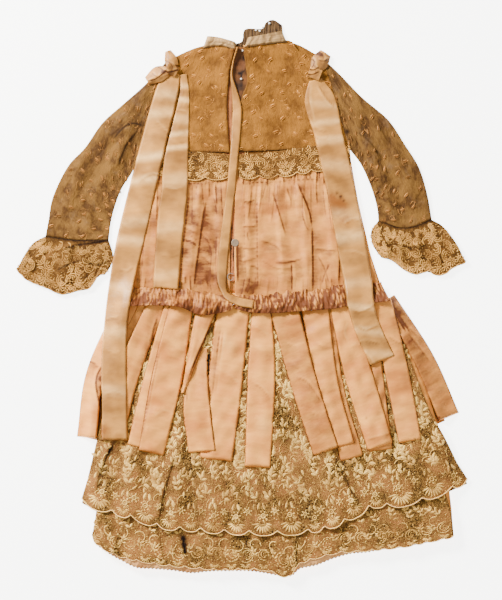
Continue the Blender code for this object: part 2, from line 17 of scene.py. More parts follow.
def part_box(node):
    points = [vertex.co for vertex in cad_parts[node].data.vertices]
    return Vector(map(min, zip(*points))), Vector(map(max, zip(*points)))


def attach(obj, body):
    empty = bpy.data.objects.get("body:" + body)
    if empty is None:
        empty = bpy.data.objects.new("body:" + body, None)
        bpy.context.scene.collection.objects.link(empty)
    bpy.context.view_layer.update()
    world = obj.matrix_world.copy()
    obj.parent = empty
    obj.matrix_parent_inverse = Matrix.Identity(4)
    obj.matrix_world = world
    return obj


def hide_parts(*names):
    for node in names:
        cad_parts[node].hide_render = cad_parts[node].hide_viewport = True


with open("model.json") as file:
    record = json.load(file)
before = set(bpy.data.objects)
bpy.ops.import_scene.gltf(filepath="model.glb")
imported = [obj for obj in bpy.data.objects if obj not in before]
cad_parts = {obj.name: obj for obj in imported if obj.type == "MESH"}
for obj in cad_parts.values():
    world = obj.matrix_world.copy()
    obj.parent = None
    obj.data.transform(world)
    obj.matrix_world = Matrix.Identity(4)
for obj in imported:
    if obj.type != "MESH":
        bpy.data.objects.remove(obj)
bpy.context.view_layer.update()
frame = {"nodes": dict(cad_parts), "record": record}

MM = 0.001
# where the middle of the dress's outline falls in the tables
MIDDLE = np.array((-0.03, 0.35))
# half the ground on which the pile of cloths is measured, across and along
PILE_HALF = (330, 400)
SHELL = 0.45
LACE_SHELL = 0.5
CONTACT = 0.15
UPSAMPLE = 3

# columns of the tables; a tuck's higher side is on the left of its run when its step is positive
Tuck = namedtuple("Tuck", "x_top y_top x_mid y_mid x_end y_end step reach shade")
Spot = namedtuple("Spot", "x y radius stain shade")
Band = namedtuple("Band", "y half gleam")
Outline = namedtuple("Outline", "top hem left right", defaults=((), ()))
Gathers = namedtuple("Gathers", "left right top count shortest longest seed lean dark", defaults=(0.55,))
Motif = namedtuple("Motif", "across up turn length width height kind")
LEAF, RING, DOT = 0, 1, 2

# seam lines shared by neighbouring pieces
ARMHOLE_LEFT = ((-100, 322), (-113, 281), (-127, 241), (-139, 198))
ARMHOLE_RIGHT = ((108, 325), (123, 281), (134, 241), (144, 203))
WRIST_LEFT = ((-265, 84), (-225, 79), (-180, 79))
WRIST_RIGHT = ((184, 105), (220, 95), (256, 106))
WAIST = ((-148, 6), (190, 10))
WAIST_LOW = ((-150, -6), (198, -3))
SKIRT_TOP = ((-150, -9), (198, -6))
SKIRT_HEM = ((-196, -331), (-165, -350), (-124, -362), (-57, -366), (11, -366), (62, -373),
             (81, -361), (126, -348), (159, -339), (213, -333), (284, -320))
LOWER_HEM = ((-202, -321), (-194, -333), (-165, -348), (-124, -357), (-84, -362), (-30, -366),
             (27, -366), (62, -376), (78, -358), (126, -344), (159, -341), (213, -336), (285, -322))
UPPER_HEM = ((-216, -276), (-194, -286), (-151, -297), (-111, -310), (-57, -315), (11, -319),
             (78, -318), (126, -308), (162, -291), (176, -283), (213, -281), (254, -271), (304, -250))
UPPER_LOBES = 16
UPPER_NOTCH = 7.0

# each piece's edges; left and right give only the points between corners
OUTLINES = {
    "yoke_front": Outline(
        ARMHOLE_LEFT[:1] + ((-50, 341), (4, 333), (62, 346)) + ARMHOLE_RIGHT[:1],
        (ARMHOLE_LEFT[-1], ARMHOLE_RIGHT[-1]), ARMHOLE_LEFT[1:-1], ARMHOLE_RIGHT[1:-1]),
    "bodice_front": Outline(
        (ARMHOLE_LEFT[-1], ARMHOLE_RIGHT[-1]), WAIST, ((-144, 106), (-147, 52)), ((158, 126), (170, 72))),
    "shirring_front": Outline(WAIST, WAIST_LOW),
    "sleeve_left": Outline(
        ARMHOLE_LEFT, WRIST_LEFT,
        ((-128, 291), (-158, 264), (-188, 237), (-212, 203), (-235, 178), (-255, 137), (-261, 105)),
        ((-147, 173), (-162, 149), (-171, 126), (-177, 103))),
    "sleeve_right": Outline(
        ARMHOLE_RIGHT[::-1], WRIST_RIGHT, ((161, 180), (174, 151), (182, 124)),
        ((132, 302), (162, 271), (197, 241), (220, 207), (239, 176), (250, 140))),
    "cuff_left": Outline(
        WRIST_LEFT,
        ((-304, 38), (-289, 24), (-262, 13), (-243, 5), (-221, 10), (-205, 14), (-194, 30), (-185, 32)),
        ((-281, 75), (-293, 59)), ((-174, 59), (-177, 44))),
    "cuff_right": Outline(
        WRIST_RIGHT,
        ((188, 55), (202, 51), (219, 38), (235, 32), (251, 36), (261, 31), (273, 32), (285, 41), (302, 48)),
        ((174, 90), (177, 71)), ((271, 97), (289, 74))),
    "tabs_front": Outline(
        SKIRT_TOP, ((-209, -188), (-100, -212), (40, -225), (160, -212), (274, -165)),
        ((-190, -90),), ((240, -80),)),
    "skirt": Outline(
        SKIRT_TOP, SKIRT_HEM, ((-167, -70), (-184, -164), (-194, -272)),
        ((234, -83), (265, -178), (281, -272))),
    "upper_flounce": Outline(
        ((-152, -11), (25, -11), (200, -8)), UPPER_HEM, ((-176, -110), (-197, -198)),
        ((247, -137), (275, -191))),
    "lower_flounce": Outline(
        ((-181, -200), (30, -205), (256, -200)), LOWER_HEM, ((-192, -259), (-198, -299)),
        ((273, -259), (282, -292))),
    "hem_frill": Outline(
        ((-188, -300), (-110, -325), (27, -335), (126, -318), (213, -305), (276, -295)), SKIRT_HEM),
    "collar_front": Outline(
        ((-46, 345), (-3, 345), (4, 363), (27, 364), (32, 372), (42, 376), (54, 369)),
        ((-46, 333), (4, 328), (57, 342))),
    "collar_back_left": Outline(((-47, 354), (-30, 352), (-8, 345)), ((-53, 337), (-30, 340), (-8, 334))),
    "collar_back_right": Outline(((8, 352), (31, 356), (54, 361)), ((3, 338), (30, 342), (61, 345))),
    "yoke_back_left": Outline(
        (ARMHOLE_LEFT[0], (-78, 330), (-50, 341), (-7, 342)), (ARMHOLE_LEFT[-1], (-16, 196)),
        ARMHOLE_LEFT[1:-1], ((-14, 319), (-18, 295), (-20, 254), (-18, 220))),
    "yoke_back_right": Outline(
        ((1, 341), (61, 348), (78, 333), ARMHOLE_RIGHT[0]), ((-5, 197), ARMHOLE_RIGHT[-1]),
        ((4, 319), (7, 296), (5, 285), (-1, 268), (-2, 230)), ARMHOLE_RIGHT[1:-1]),
    "bodice_back_left": Outline(
        ((-139, 192), (-16, 190)), ((-148, 0), (-16, 0)), ((-144, 106), (-147, 52))),
    "bodice_back_right": Outline(
        ((-8, 191), (144, 197)), ((-9, 2), (190, 4)), ((-9, 150), (-10, 100), (-10, 50)),
        ((150, 167), (158, 126), (169, 79), (177, 45))),
    "lace_band_left": Outline(
        ((-139, 195), (-70, 198), (-16, 194)), ((-140, 165), (-70, 159), (-16, 160))),
    "lace_band_right": Outline(
        ((-4, 194), (51, 199), (103, 206), (145, 205)), ((-4, 160), (51, 163), (105, 171), (148, 176))),
    "waist_shirring_left": Outline(
        ((-155, 14), (-84, 12), (-34, 5), (-12, 4)),
        ((-157, -10), (-90, -10), (-57, -22), (-22, -18), (-12, -14))),
    "waist_shirring_right": Outline(
        ((-9, 4), (27, 3), (103, 11), (139, 19), (188, 20)),
        ((-9, -14), (27, -20), (119, -14), (142, -10), (199, -3))),
}

# top, middle and end of each hanging tab, from the lowest layer to the highest, each as x, y, width
TABS = {
    "tab_02": ((-142, -6, 34), (-167, -95, 32), (-174, -186, 33)),
    "tab_03": ((-113, -6, 28), (-150, -92, 31), (-172, -178, 30)),
    "tab_01": ((-152, -4, 28), (-196, -99, 27), (-209, -188, 28)),
    "tab_12": ((108, -4, 32), (121, -114, 31), (148, -215, 32)),
    "tab_14": ((162, -3, 30), (174, -100, 32), (187, -204, 32)),
    "tab_16": ((197, 0, 20), (245, -82, 29), (279, -160, 30)),
    "tab_04": ((-90, -7, 28), (-118, -110, 30), (-139, -200, 32)),
    "tab_09": ((27, -7, 27), (26, -110, 38), (21, -227, 35)),
    "tab_11": ((97, -6, 38), (113, -112, 33), (136, -198, 32)),
    "tab_15": ((186, -2, 30), (208, -97, 33), (226, -192, 31)),
    "tab_05": ((-81, -8, 32), (-101, -108, 42), (-122, -208, 35)),
    "tab_08": ((-11, -8, 45), (-23, -115, 48), (-35, -217, 45)),
    "tab_07": ((-51, -66, 9), (-61, -134, 35), (-54, -206, 37)),
    "tab_06": ((-47, -9, 29), (-64, -72, 17), (-80, -128, 4)),
    "tab_10": ((55, -6, 40), (83, -113, 37), (113, -206, 36)),
    "tab_13": ((130, -3, 27), (156, -100, 38), (186, -199, 36)),
}

# creases pressed or crushed into single pieces, as rows of a tuck's columns
CREASES = {
    "tab_01": (
        (-188, -88, -197, -112, -190, -152, -0.8, 4, 1.3), (-212, -84, -202, -86, -192, -92, 0.7, 6, 0.8),
        (-196, -60, -212, -84, -206, -106, 0.5, 6, 0.4)),
    "tab_02": (
        (-129, -16, -143, -42, -158, -72, 0.8, 4, 1.3), (-127, -14, -141, -40, -156, -70, 0.6, 3, 1.3)),
    "tab_03": (
        (-106, -28, -117, -58, -124, -82, 0.9, 4, 1.2), (-112, -22, -118, -40, -120, -60, 0.8, 3, 0.9),
        (-113, -26, -121, -49, -124, -70, -1.2, 4, 0.7)),
    "tab_05": (
        (-113, -63, -130, -144, -138, -191, 0.7, 3, 1.2),
        (-109, -63, -126, -144, -134, -191, 0.4, 3, 0.8), (-98, -60, -88, -66, -76, -74, 0.4, 8, 0.2),
        (-118, -160, -104, -152, -92, -158, 0.4, 8, 0.2)),
    "tab_06": (
        (-40, -30, -56, -66, -72, -104, -0.9, 4, 1.2), (-62, -30, -66, -56, -74, -92, 0.5, 4, 0.3)),
    "tab_07": (
        (-48, -84, -44, -134, -38, -196, -0.7, 4, 0.7), (-66, -100, -72, -120, -74, -140, 0.6, 3, 0.6)),
    "tab_08": (
        (-27, -36, -35, -84, -40, -130, 0.7, 3, 1.1), (-23, -36, -31, -84, -36, -130, 0.3, 3, 0.7),
        (-42, -60, -44, -130, -38, -206, 0.6, 3, 1.0), (-36, -96, -18, -104, -4, -118, 0.5, 8, 0.25)),
    "tab_09": ((10, -36, 22, -42, 36, -52, 0.4, 8, 0.2), (12, -112, 26, -120, 40, -138, 0.7, 8, 0.45)),
    "tab_10": (
        (72, -106, 88, -112, 108, -140, 0.7, 8, 0.4), (90, -152, 104, -156, 118, -150, 0.4, 6, 0.25),
        (56, -58, 70, -64, 88, -62, 0.4, 7, 0.2)),
    "tab_11": (
        (100, -60, 112, -66, 126, -64, 0.4, 7, 0.25), (112, -128, 124, -122, 136, -124, 0.4, 7, 0.25)),
    "tab_13": (
        (140, -30, 136, -46, 142, -60, 0.6, 6, 0.3), (146, -66, 156, -62, 168, -64, 0.4, 6, 0.3),
        (166, -132, 176, -126, 188, -128, 0.4, 6, 0.3), (168, -190, 182, -187, 202, -180, 0.5, 5, 0.6)),
    "tab_15": ((196, -50, 208, -58, 222, -60, 0.5, 6, 0.4),),
    "tab_16": (
        (195, 4, 206, -20, 221, -46, -1.0, 5, 1.3), (198, 0, 210, -22, 226, -46, -0.6, 5, 1.0),
        (222, -44, 236, -62, 256, -88, 0.6, 5, 0.3), (214, -26, 226, -40, 238, -52, 0.5, 4, 0.4)),
    "bodice_back_left": (
        (-49, 133, -57, 79, -66, 11, -1.5, 7, 1.0), (-71, 146, -79, 80, -86, 11, -1.0, 8, 0.6),
        (-38, 138, -35, 126, -33, 112, 0.6, 5, 0.4), (-33, 90, -35, 50, -33, 16, 1.0, 8, 0.35),
        (-70, 85, -64, 82, -60, 78, 0.5, 5, 0.4), (-60, 96, -48, 88, -40, 76, 0.7, 8, 0.3),
        (-56, 62, -46, 50, -38, 44, 0.7, 8, 0.3), (-128, 120, -132, 70, -136, 20, 0.8, 6, 0.4),
        (-118, 60, -104, 50, -96, 30, 0.6, 6, 0.3), (-84, 100, -70, 92, -60, 88, 0.8, 10, 0.35),
        (-58, 90, -46, 78, -40, 60, 0.9, 8, 0.45), (-40, 66, -42, 40, -44, 20, 0.8, 6, 0.4),
        (-78, 80, -66, 76, -60, 70, 0.5, 4, 0.7)),
    "bodice_back_right": (
        (21, 150, 21, 90, 22, 11, 0.9, 4, 0.6), (35, 160, 31, 146, 27, 133, 0.8, 5, 0.5),
        (41, 143, 54, 100, 59, 84, -0.9, 6, 0.7), (60, 149, 63, 140, 66, 132, -0.7, 5, 0.6),
        (74, 156, 89, 121, 94, 97, -1.5, 6, 0.9), (94, 97, 95, 50, 95, 8, -1.5, 7, 1.0),
        (100, 158, 100, 142, 101, 128, -0.6, 5, 0.5), (67, 49, 68, 28, 68, 7, 0.8, 5, 0.8),
        (118, 46, 112, 32, 108, 18, 0.6, 5, 0.6), (128, 113, 131, 60, 130, 18, -1.2, 6, 0.8),
        (44, 49, 66, 50, 82, 55, 0.7, 6, 0.7), (24, 79, 44, 72, 56, 60, 0.7, 9, 0.3),
        (26, 34, 46, 32, 60, 38, 0.5, 8, 0.25), (0, 98, 10, 97, 20, 99, 0.5, 4, 0.7),
        (0, 68, 10, 67, 20, 68, 0.5, 4, 0.6), (0, 50, 10, 52, 20, 55, 0.5, 4, 0.5),
        (10, 45, 16, 44, 24, 41, 0.5, 4, 0.5), (97, 67, 114, 66, 130, 64, 0.5, 6, 0.5),
        (4, 150, 4, 80, 6, 20, 0.6, 4, 0.4), (-7, 79, -7, 50, -6, 22, -0.8, 3, 1.2),
        (2, 132, 8, 130, 18, 134, 0.5, 4, 0.6), (8, 90, 8, 84, 10, 78, 0.4, 3, 0.5),
        (26, 52, 52, 40, 76, 44, 0.7, 9, 0.4), (80, 122, 86, 100, 92, 90, 0.6, 4, 0.5),
        (102, 60, 112, 40, 118, 20, 0.7, 5, 0.6)),
}

# folds and creases of the other pieces, their spots of stain and of painted shade, and painted bars of sheen
LEFT_SLEEVE_FOLDS = (
    (-131, 233, -153, 234, -175, 213, 1.6, 4, 1.3), (-142, 226, -158, 204, -168, 178, -1.1, 5, 1.1),
    (-175, 213, -186, 200, -192, 186, 1.0, 7, 0.5), (-150, 180, -168, 150, -178, 120, 0.9, 8, 0.4),
    (-200, 220, -222, 180, -236, 130, 0.8, 10, 0.25), (-160, 262, -186, 236, -204, 200, 0.7, 10, 0.25),
)
RIGHT_SLEEVE_FOLDS = (
    (146, 226, 166, 216, 190, 186, -1.5, 8, 0.7), (142, 250, 176, 236, 214, 190, -0.8, 9, 0.35),
    (150, 196, 170, 178, 186, 140, -0.9, 8, 0.4), (196, 222, 222, 186, 238, 140, 0.7, 10, 0.25),
)
LEFT_CUFF_FOLDS = (
    (-252, 36, -232, 46, -212, 52, -1.6, 5, 1.3), (-216, 52, -198, 45, -176, 49, -1.4, 5, 1.2),
    (-246, 64, -225, 72, -178, 78, 1.4, 5, 1.3), (-276, 66, -290, 48, -296, 34, 0.8, 5, 0.6),
    (-262, 50, -266, 36, -258, 18, 0.8, 5, 0.6),
)
RIGHT_CUFF_FOLDS = (
    (188, 80, 222, 70, 256, 73, 1.5, 5, 1.0), (208, 58, 232, 50, 256, 58, -1.3, 5, 0.8),
    (262, 88, 274, 66, 282, 46, -0.8, 5, 0.6), (190, 96, 194, 80, 192, 62, 0.8, 5, 0.6),
)
UPPER_FLOUNCE_FOLDS = (
    (-171, -188, -190, -230, -196, -262, -2.2, 9, 1.0),
    (-90, -211, -104, -256, -113, -300, -2.6, 10, 1.0), (-70, -204, -62, -260, -57, -312, 1.3, 9, 0.5),
    (-19, -240, -18, -270, -16, -306, 1.0, 8, 0.4), (14, -232, 16, -270, 18, -318, 1.2, 8, 0.7),
    (74, -211, 88, -260, 96, -306, 1.4, 9, 0.7), (123, -211, 146, -258, 162, -286, -2.6, 10, 1.0),
    (213, -225, 226, -250, 232, -268, -1.4, 9, 0.6), (267, -178, 276, -210, 284, -246, -1.2, 9, 0.5),
    (-62, -140, -64, -170, -72, -204, 1.0, 6, 0.9), (-128, -20, -142, -46, -156, -70, -1.0, 4, 1.0),
    (-109, -24, -106, -34, -104, -44, -1.0, 5, 1.0), (-48, -70, -46, -86, -44, -104, -1.0, 4, 1.0),
    (186, -10, 206, -26, 214, -44, -1.0, 6, 1.0), (196, -110, 204, -150, 208, -190, -1.0, 5, 0.9),
    (58, -120, 68, -160, 74, -205, 0.8, 6, 0.6),
)
LOWER_FLOUNCE_FOLDS = (
    (-165, -313, -169, -328, -172, -344, -1.5, 7, 0.6),
    (-117, -306, -110, -330, -106, -354, -1.6, 7, 0.6), (-81, -322, -79, -334, -77, -344, -2.0, 6, 1.0),
    (8, -326, 6, -344, 5, -366, 1.4, 7, 0.6), (31, -326, 31, -334, 31, -344, 1.0, 6, 0.5),
    (72, -319, 72, -340, 73, -366, -1.5, 7, 0.7), (123, -312, 128, -326, 132, -338, 1.3, 7, 0.6),
    (193, -292, 204, -304, 213, -318, -1.3, 8, 0.5), (246, -282, 254, -298, 260, -316, 1.2, 8, 0.5),
)
STREAMER_LONG_CREASES = (
    (-140, 156, -124, 166, -108, 166, 0.6, 8, 0.3), (-186, -30, -176, -27, -164, -26, 0.5, 5, 0.5),
    (-118, 240, -104, 226, -94, 218, 0.6, 7, 0.25), (-166, 40, -156, 36, -146, 42, 0.5, 7, 0.4),
    (-184, -70, -172, -74, -160, -72, 0.4, 8, 0.2), (-186, -130, -172, -126, -158, -130, 0.4, 8, 0.2),
)
STREAMER_SHORT_CREASES = (
    (-90, 254, -82, 252, -74, 250, 0.5, 5, 0.5), (-98, 212, -88, 210, -74, 212, 0.5, 7, 0.3),
    (-104, 150, -92, 146, -76, 150, 0.4, 8, 0.2), (-112, 60, -98, 56, -82, 60, 0.4, 8, 0.2),
)
STREAMER_RIGHT_CREASES = (
    (92, 292, 90, 268, 96, 238, 0.9, 6, 0.5), (102, 288, 112, 272, 124, 258, -0.9, 6, 0.5),
    (98, 230, 106, 226, 116, 226, 0.4, 6, 0.3), (98, 218, 106, 214, 116, 216, 0.4, 6, 0.3),
    (148, -16, 160, -18, 180, -8, 0.9, 7, 0.4), (156, -38, 166, -42, 184, -36, 0.8, 6, 0.4),
    (152, -62, 166, -58, 186, -60, 0.7, 6, 0.5), (162, -70, 170, -78, 178, -92, 0.6, 5, 0.3),
    (138, 100, 150, 106, 160, 104, 0.4, 7, 0.25), (134, 60, 150, 62, 168, 56, 0.4, 7, 0.25),
)
# stains on the ribbons, and spots darkened through painted shade
RIBBON_STAIN_AND_SHADE_SPOTS = (
    (130, 122, 15, 1.25, 0.0), (121, 134, 11, 1.0, 0.0), (139, 106, 13, 0.8, 0.0),
    (133, 137, 2.6, 0.6, 1.3), (128, 142, 1.8, 0.5, 0.9), (137, 132, 1.8, 0.5, 0.9),
    (-24, 60, 14, 0.3, 0.3), (-26, 20, 12, 0.0, 0.35), (-186, -178, 14, 0.7, 0.0),
    (-166, -186, 9, 0.4, 0.0), (160, -190, 8, 0.2, 0.0),
)
# a few stains, painted shade in gaps, holes and folds, and painted highlight where the shade is below zero
SILK_STAIN_AND_SHADE_SPOTS = (
    (167, -160, 1.6, 0.0, 1.0), (265, -161, 2.0, 0.0, 1.2), (-143, 186, 6, 0.0, 0.4),
    (14, 16, 14, 0.0, 0.5), (2, 14, 10, 0.0, 0.4), (-26, 40, 9, 0.0, 0.3), (118, 60, 5, 0.5, 0.0),
    (-64, 104, 13, 0.0, 0.4), (-44, 68, 14, 0.0, 0.4), (-50, 30, 14, 0.0, 0.4), (-34, 90, 10, 0.0, 0.35),
    (-38, 30, 8, 0.0, 0.3), (36, 80, 9, 0.0, 0.2), (60, 66, 11, 0.0, 0.22), (30, 62, 8, 0.0, 0.22),
    (-189, -108, 4, 0.0, 1.3), (-188, -120, 4.5, 0.0, 1.3), (-187, -134, 4, 0.0, 1.3),
    (-200, -84, 10, 0.0, 0.3), (-100, -60, 10, 0.0, 0.2), (-126, -178, 12, 0.0, 0.12),
    (70, -90, 12, 0.0, 0.2), (100, -170, 14, 0.0, 0.2), (-20, -60, 14, 0.0, -0.2),
    (24, -70, 12, 0.0, 0.2), (30, -170, 14, 0.0, -0.2), (150, -80, 12, 0.0, 0.15),
    (84, 40, 12, 0.0, 0.15), (58, 118, 12, 0.0, -0.15), (120, 104, 10, 0.0, -0.15),
    (208, -30, 9, 0.0, 0.4), (224, -60, 14, 0.0, 0.3), (236, -88, 14, 0.0, 0.3),
    (248, -118, 14, 0.0, 0.3),
)

# painted bars of sheen across each ribbon: y, half height, gleam; a negative gleam is painted shade
LONG_BANDS = (
    (276, 8, 0.4), (250, 7, 0.5), (216, 6, -0.12), (191, 6, 0.8), (176, 5, -0.1), (160, 6, 0.7),
    (128, 9, -0.12), (104, 8, 0.35), (78, 6, 0.5), (52, 8, -0.12), (14, 10, 0.3), (-14, 6, -0.15),
    (-44, 9, 0.4), (-86, 12, -0.1), (-124, 9, 0.3), (-160, 8, -0.1),
)
SHORT_BANDS = (
    (286, 4, 0.6), (278, 4, -0.35), (268, 4, 0.7), (258, 3, -0.35), (243, 7, 0.5), (222, 4, 0.6),
    (213, 4, -0.15), (204, 4, 0.7), (186, 5, -0.15), (160, 9, 0.4), (128, 8, -0.1), (96, 9, 0.35),
    (60, 9, -0.12), (32, 7, 0.3),
)
RIGHT_BANDS = (
    (262, 6, 0.3), (238, 5, 0.5), (226, 4, -0.12), (214, 6, 0.5), (180, 9, 0.3), (146, 7, -0.15),
    (112, 9, 0.3), (84, 9, 0.5), (50, 7, -0.12), (22, 7, 0.3), (-12, 5, 0.5), (-24, 4, -0.2),
    (-44, 6, 0.5), (-60, 4, -0.2), (-74, 6, 0.4),
)
BOW_CREASES = (
    (-127, 293, -115, 297, -101, 308, 1.4, 3, 1.1), (-115, 314, -107, 308, -110, 300, 0.9, 3, 0.9),
    (-122, 305, -116, 300, -108, 297, 0.8, 3, 0.6), (-104, 322, -98, 318, -92, 312, 0.9, 3, 0.8),
    (-100, 330, -98, 322, -100, 314, 0.7, 3, 0.5), (-106, 308, -98, 305, -84, 309, 1.2, 3, 1.2),
    (-96, 318, -93, 311, -95, 303, 0.9, 3, 0.9), (-90, 316, -86, 310, -84, 302, 0.7, 3, 0.6),
    (94, 325, 98, 318, 94, 308, 1.2, 3, 1.0), (102, 322, 110, 320, 118, 324, 1.2, 3, 0.9),
    (88, 312, 95, 308, 104, 312, 1.1, 3, 1.1), (86, 304, 94, 302, 104, 306, 1.1, 3, 1.1),
    (96, 316, 100, 310, 99, 300, 0.8, 3, 0.8), (108, 330, 110, 324, 108, 316, 0.8, 3, 0.6),
)
# painted shade: dark gaps between the tabs, a dark slit and shaded folds of the lace
FLOUNCE_SHADE_SPOTS = (
    (-107, -30, 7, 0.0, 1.3), (-104, -42, 5, 0.0, 1.0), (-47, -78, 5, 0.0, 1.3), (-46, -94, 5, 0.0, 1.3),
    (-48, -108, 4, 0.0, 1.0), (196, -14, 8, 0.0, 1.3), (206, -32, 7, 0.0, 1.2), (202, -120, 6, 0.0, 1.0),
    (204, -145, 7, 0.0, 1.3), (208, -175, 6, 0.0, 1.2), (-160, -56, 6, 0.0, 1.3),
    (-157, -120, 6, 0.0, 1.0), (-152, -140, 6, 0.0, 1.3), (-146, -110, 6, 0.0, 0.6),
    (-72, -180, 7, 0.0, 0.7), (50, -150, 6, 0.0, 0.8), (10, -60, 6, 0.0, 0.9), (6, -120, 6, 0.0, 0.8),
    (60, -190, 8, 0.0, 0.6), (140, -206, 8, 0.0, 0.6), (118, -60, 5, 0.0, 0.8), (148, -90, 5, 0.0, 0.8),
    (-79, -322, 5, 0.0, 1.3), (-78, -332, 4, 0.0, 1.3), (-77, -340, 3, 0.0, 1.3),
    (240, -226, 10, 0.0, 0.4), (-60, -290, 12, 0.0, 0.25), (90, -290, 14, 0.0, 0.3),
    (30, -255, 16, 0.0, 0.25), (190, -262, 16, 0.0, 0.35), (-176, -205, 9, 0.0, 0.5),
    (272, -238, 10, 0.0, 0.4),
)
# painted shade inside the loops and knots
BOW_SHADE_SPOTS = (
    (102, 331, 4.0, 0.0, 1.3), (107, 329, 3.0, 0.0, 1.2), (-106, 305, 2.5, 0.0, 1.3),
    (-87, 313, 3.0, 0.0, 0.6),
)
# painted shade: a dark spot at the top of the slit and a darker patch
FACING_SHADE_SPOTS = ((4, 324, 4.0, 0.0, 1.3), (-4, 284, 8.0, 0.0, 0.5))
# painted shade: the dark hole at the right armhole, and darker patches
SLEEVE_SHADE_SPOTS = (
    (142, 225, 5.0, 0.0, 1.3), (146, 214, 4.0, 0.0, 1.0), (136, 214, 3.0, 0.0, 0.8),
    (128, 296, 12.0, 0.0, 0.3), (-134, 222, 9.0, 0.0, 0.5), (-118, 262, 12.0, 0.0, 0.25),
)
# painted shade over the whole of tabs that lie lower, in shadow
TAB_SHADE = {"tab_10": 0.32, "tab_12": 0.28, "tab_14": 0.3, "tab_16": 0.4, "tab_02": 0.04, "tab_03": 0.16,
             "tab_07": 0.08, "tab_11": 0.1, "tab_15": 0.12, "tab_06": 0.12, "tab_04": 0.05}

# the gathers of each bodice back, and the crease under its lace band
GATHERS = {
    "left": (Gathers(-139, -18, 172, 30, 10, 22, 42, 0.1, 0.9), Gathers(-139, -18, 156, 16, 14, 60, 47, 0.2),
             Gathers(-146, -18, 30, 18, 8, 30, 43, 0.5)),
    "right": (Gathers(-4, 146, 174, 40, 10, 24, 44, 0.1, 0.9), Gathers(0, 146, 157, 26, 14, 70, 48, 0.3),
              Gathers(0, 188, 28, 24, 8, 30, 45, 0.5)),
}
SEAM_CREASES = {"left": (-138, 157, -80, 156, -20, 157, 0.4, 3, 0.8),
                "right": (-4, 156, 70, 160, 144, 166, 0.4, 3, 0.8)}

FACING_FOLDS = (
    (6, 330, -2, 290, -8, 250, 0.8, 4, 1.0), (-6, 330, -12, 290, -14, 240, -0.7, 4, 0.9),
    (-14, 240, -20, 180, -20, 140, 0.6, 4, 0.9), (2, 300, 0, 270, -4, 250, 0.5, 3, 1.0),
    (-4, 200, -4, 100, -6, 40, 0.5, 4, 1.0), (-12, 110, -14, 70, -18, 14, 0.5, 4, 1.2),
    (-9, 100, -11, 60, -12, 20, 0.5, 3, 1.2), (-6, 304, -1, 305, 5, 310, 0.5, 3, 1.1),
)

# ribbons, loops, knots and the facing by their middle line: x, y, width
STREAMER_LEFT_LONG = (
    (-94, 303, 22), (-101, 279, 31), (-123, 194, 35), (-149, 86, 37), (-160, 32, 35), (-168, -20, 33),
    (-172, -80, 34), (-171, -191, 36),
)
STREAMER_LEFT_SHORT = (
    (-80, 302, 12), (-78, 272, 14), (-88, 194, 32), (-91, 146, 36), (-97, 92, 36), (-103, 13, 35),
)
STREAMER_RIGHT = (
    (99, 295, 18), (105, 268, 42), (117, 221, 39), (135, 140, 39), (155, 32, 39), (160, -9, 36),
    (170, -43, 35), (189, -84, 35),
)
CENTRE_RIBBON = (
    (-6, 338, 3), (-12, 318, 2.5), (-14, 300, 3.5), (-11, 284, 7), (-7, 262, 12), (-7, 240, 13),
    (-13, 165, 12), (-21, 95, 13), (-26, 50, 14), (-27, 24, 13), (-24, 10, 9), (-18, 2, 10), (-4, -4, 12),
    (16, -8, 12),
)
LOOP_LEFT_LOW = ((-100, 306, 14), (-113, 302, 22), (-128, 293, 12))
LOOP_LEFT_UP = ((-93, 313, 16), (-96, 322, 17), (-100, 334, 8))
LOOP_RIGHT = ((99, 308, 16), (105, 319, 24), (113, 331, 16))
KNOT_LEFT = ((-101, 312, 14), (-87, 304, 15))
KNOT_RIGHT = ((90, 306, 14), (106, 300, 15))
FACING = ((3, 338, 20), (-5, 300, 34), (-9, 240, 28), (-10, 120, 26), (-10, 22, 24))

# beads of the collar and the opening: x, y, height of the middle over the cloth below
BEADS = ((19, 362, 0.8), (28, 366, 0.8), (37, 371, 0.8), (1, 334, 0.6), (-1, 296, 0.8), (24, 361, 0.4))


def srgb(red, green, blue):
    """A colour written as a dye chart gives it, 0 to 255, as light."""
    share = np.array((red, green, blue)) / 255
    light = np.where(share <= 0.04045, share / 12.92, ((share + 0.055) / 1.055) ** 2.4)
    return (*(float(part) for part in light), 1.0)


GOLD_YOKE = srgb(146, 94, 32)
GOLD_YOKE_DEEP = srgb(100, 61, 18)
OLIVE_SLEEVE = srgb(121, 84, 38)
OLIVE_SLEEVE_DEEP = srgb(72, 45, 18)
SLEEVE_GREY = srgb(122, 92, 62)
STRAW = srgb(250, 203, 106)
STRAW_DEEP = srgb(150, 100, 42)
NET_THREAD = srgb(156, 113, 52)
# painted shade, in the holes of lace and on lace and stitches in their folds
NET_SHADE_DARK = srgb(40, 23, 8)
FLOUNCE_PINK = srgb(160, 100, 52)
PINK = srgb(255, 174, 78)
PINK_DEEP = srgb(204, 124, 52)
# a painted highlight colour, then the colour of painted shade in creases
PINK_LIT = srgb(255, 208, 122)
PINK_CREASE_SHADE = srgb(96, 48, 14)
SATIN = srgb(214, 148, 68)
SATIN_DEEP = srgb(140, 92, 40)
# a painted highlight colour, then a stain colour, then the colour of painted shade in creases
SATIN_LIT = srgb(250, 196, 122)
SATIN_STAIN = srgb(128, 70, 22)
SATIN_CREASE_SHADE = srgb(74, 40, 16)
CORD_CREAM = srgb(246, 190, 118)
FACING_BROWN = srgb(136, 82, 38)
# colour of painted shade in the slit, in the ruching and on the lace grounds
DEEP_SHADE_BROWN = srgb(22, 10, 5)
GAUZE = srgb(176, 138, 88)
GAUZE_DEEP = srgb(112, 84, 46)
RUCHING = srgb(104, 76, 42)
PEARL = srgb(96, 78, 58)
BEAD = srgb(250, 248, 240)
WIRE = srgb(226, 214, 196)
TABLE_WHITE = srgb(240, 240, 236)


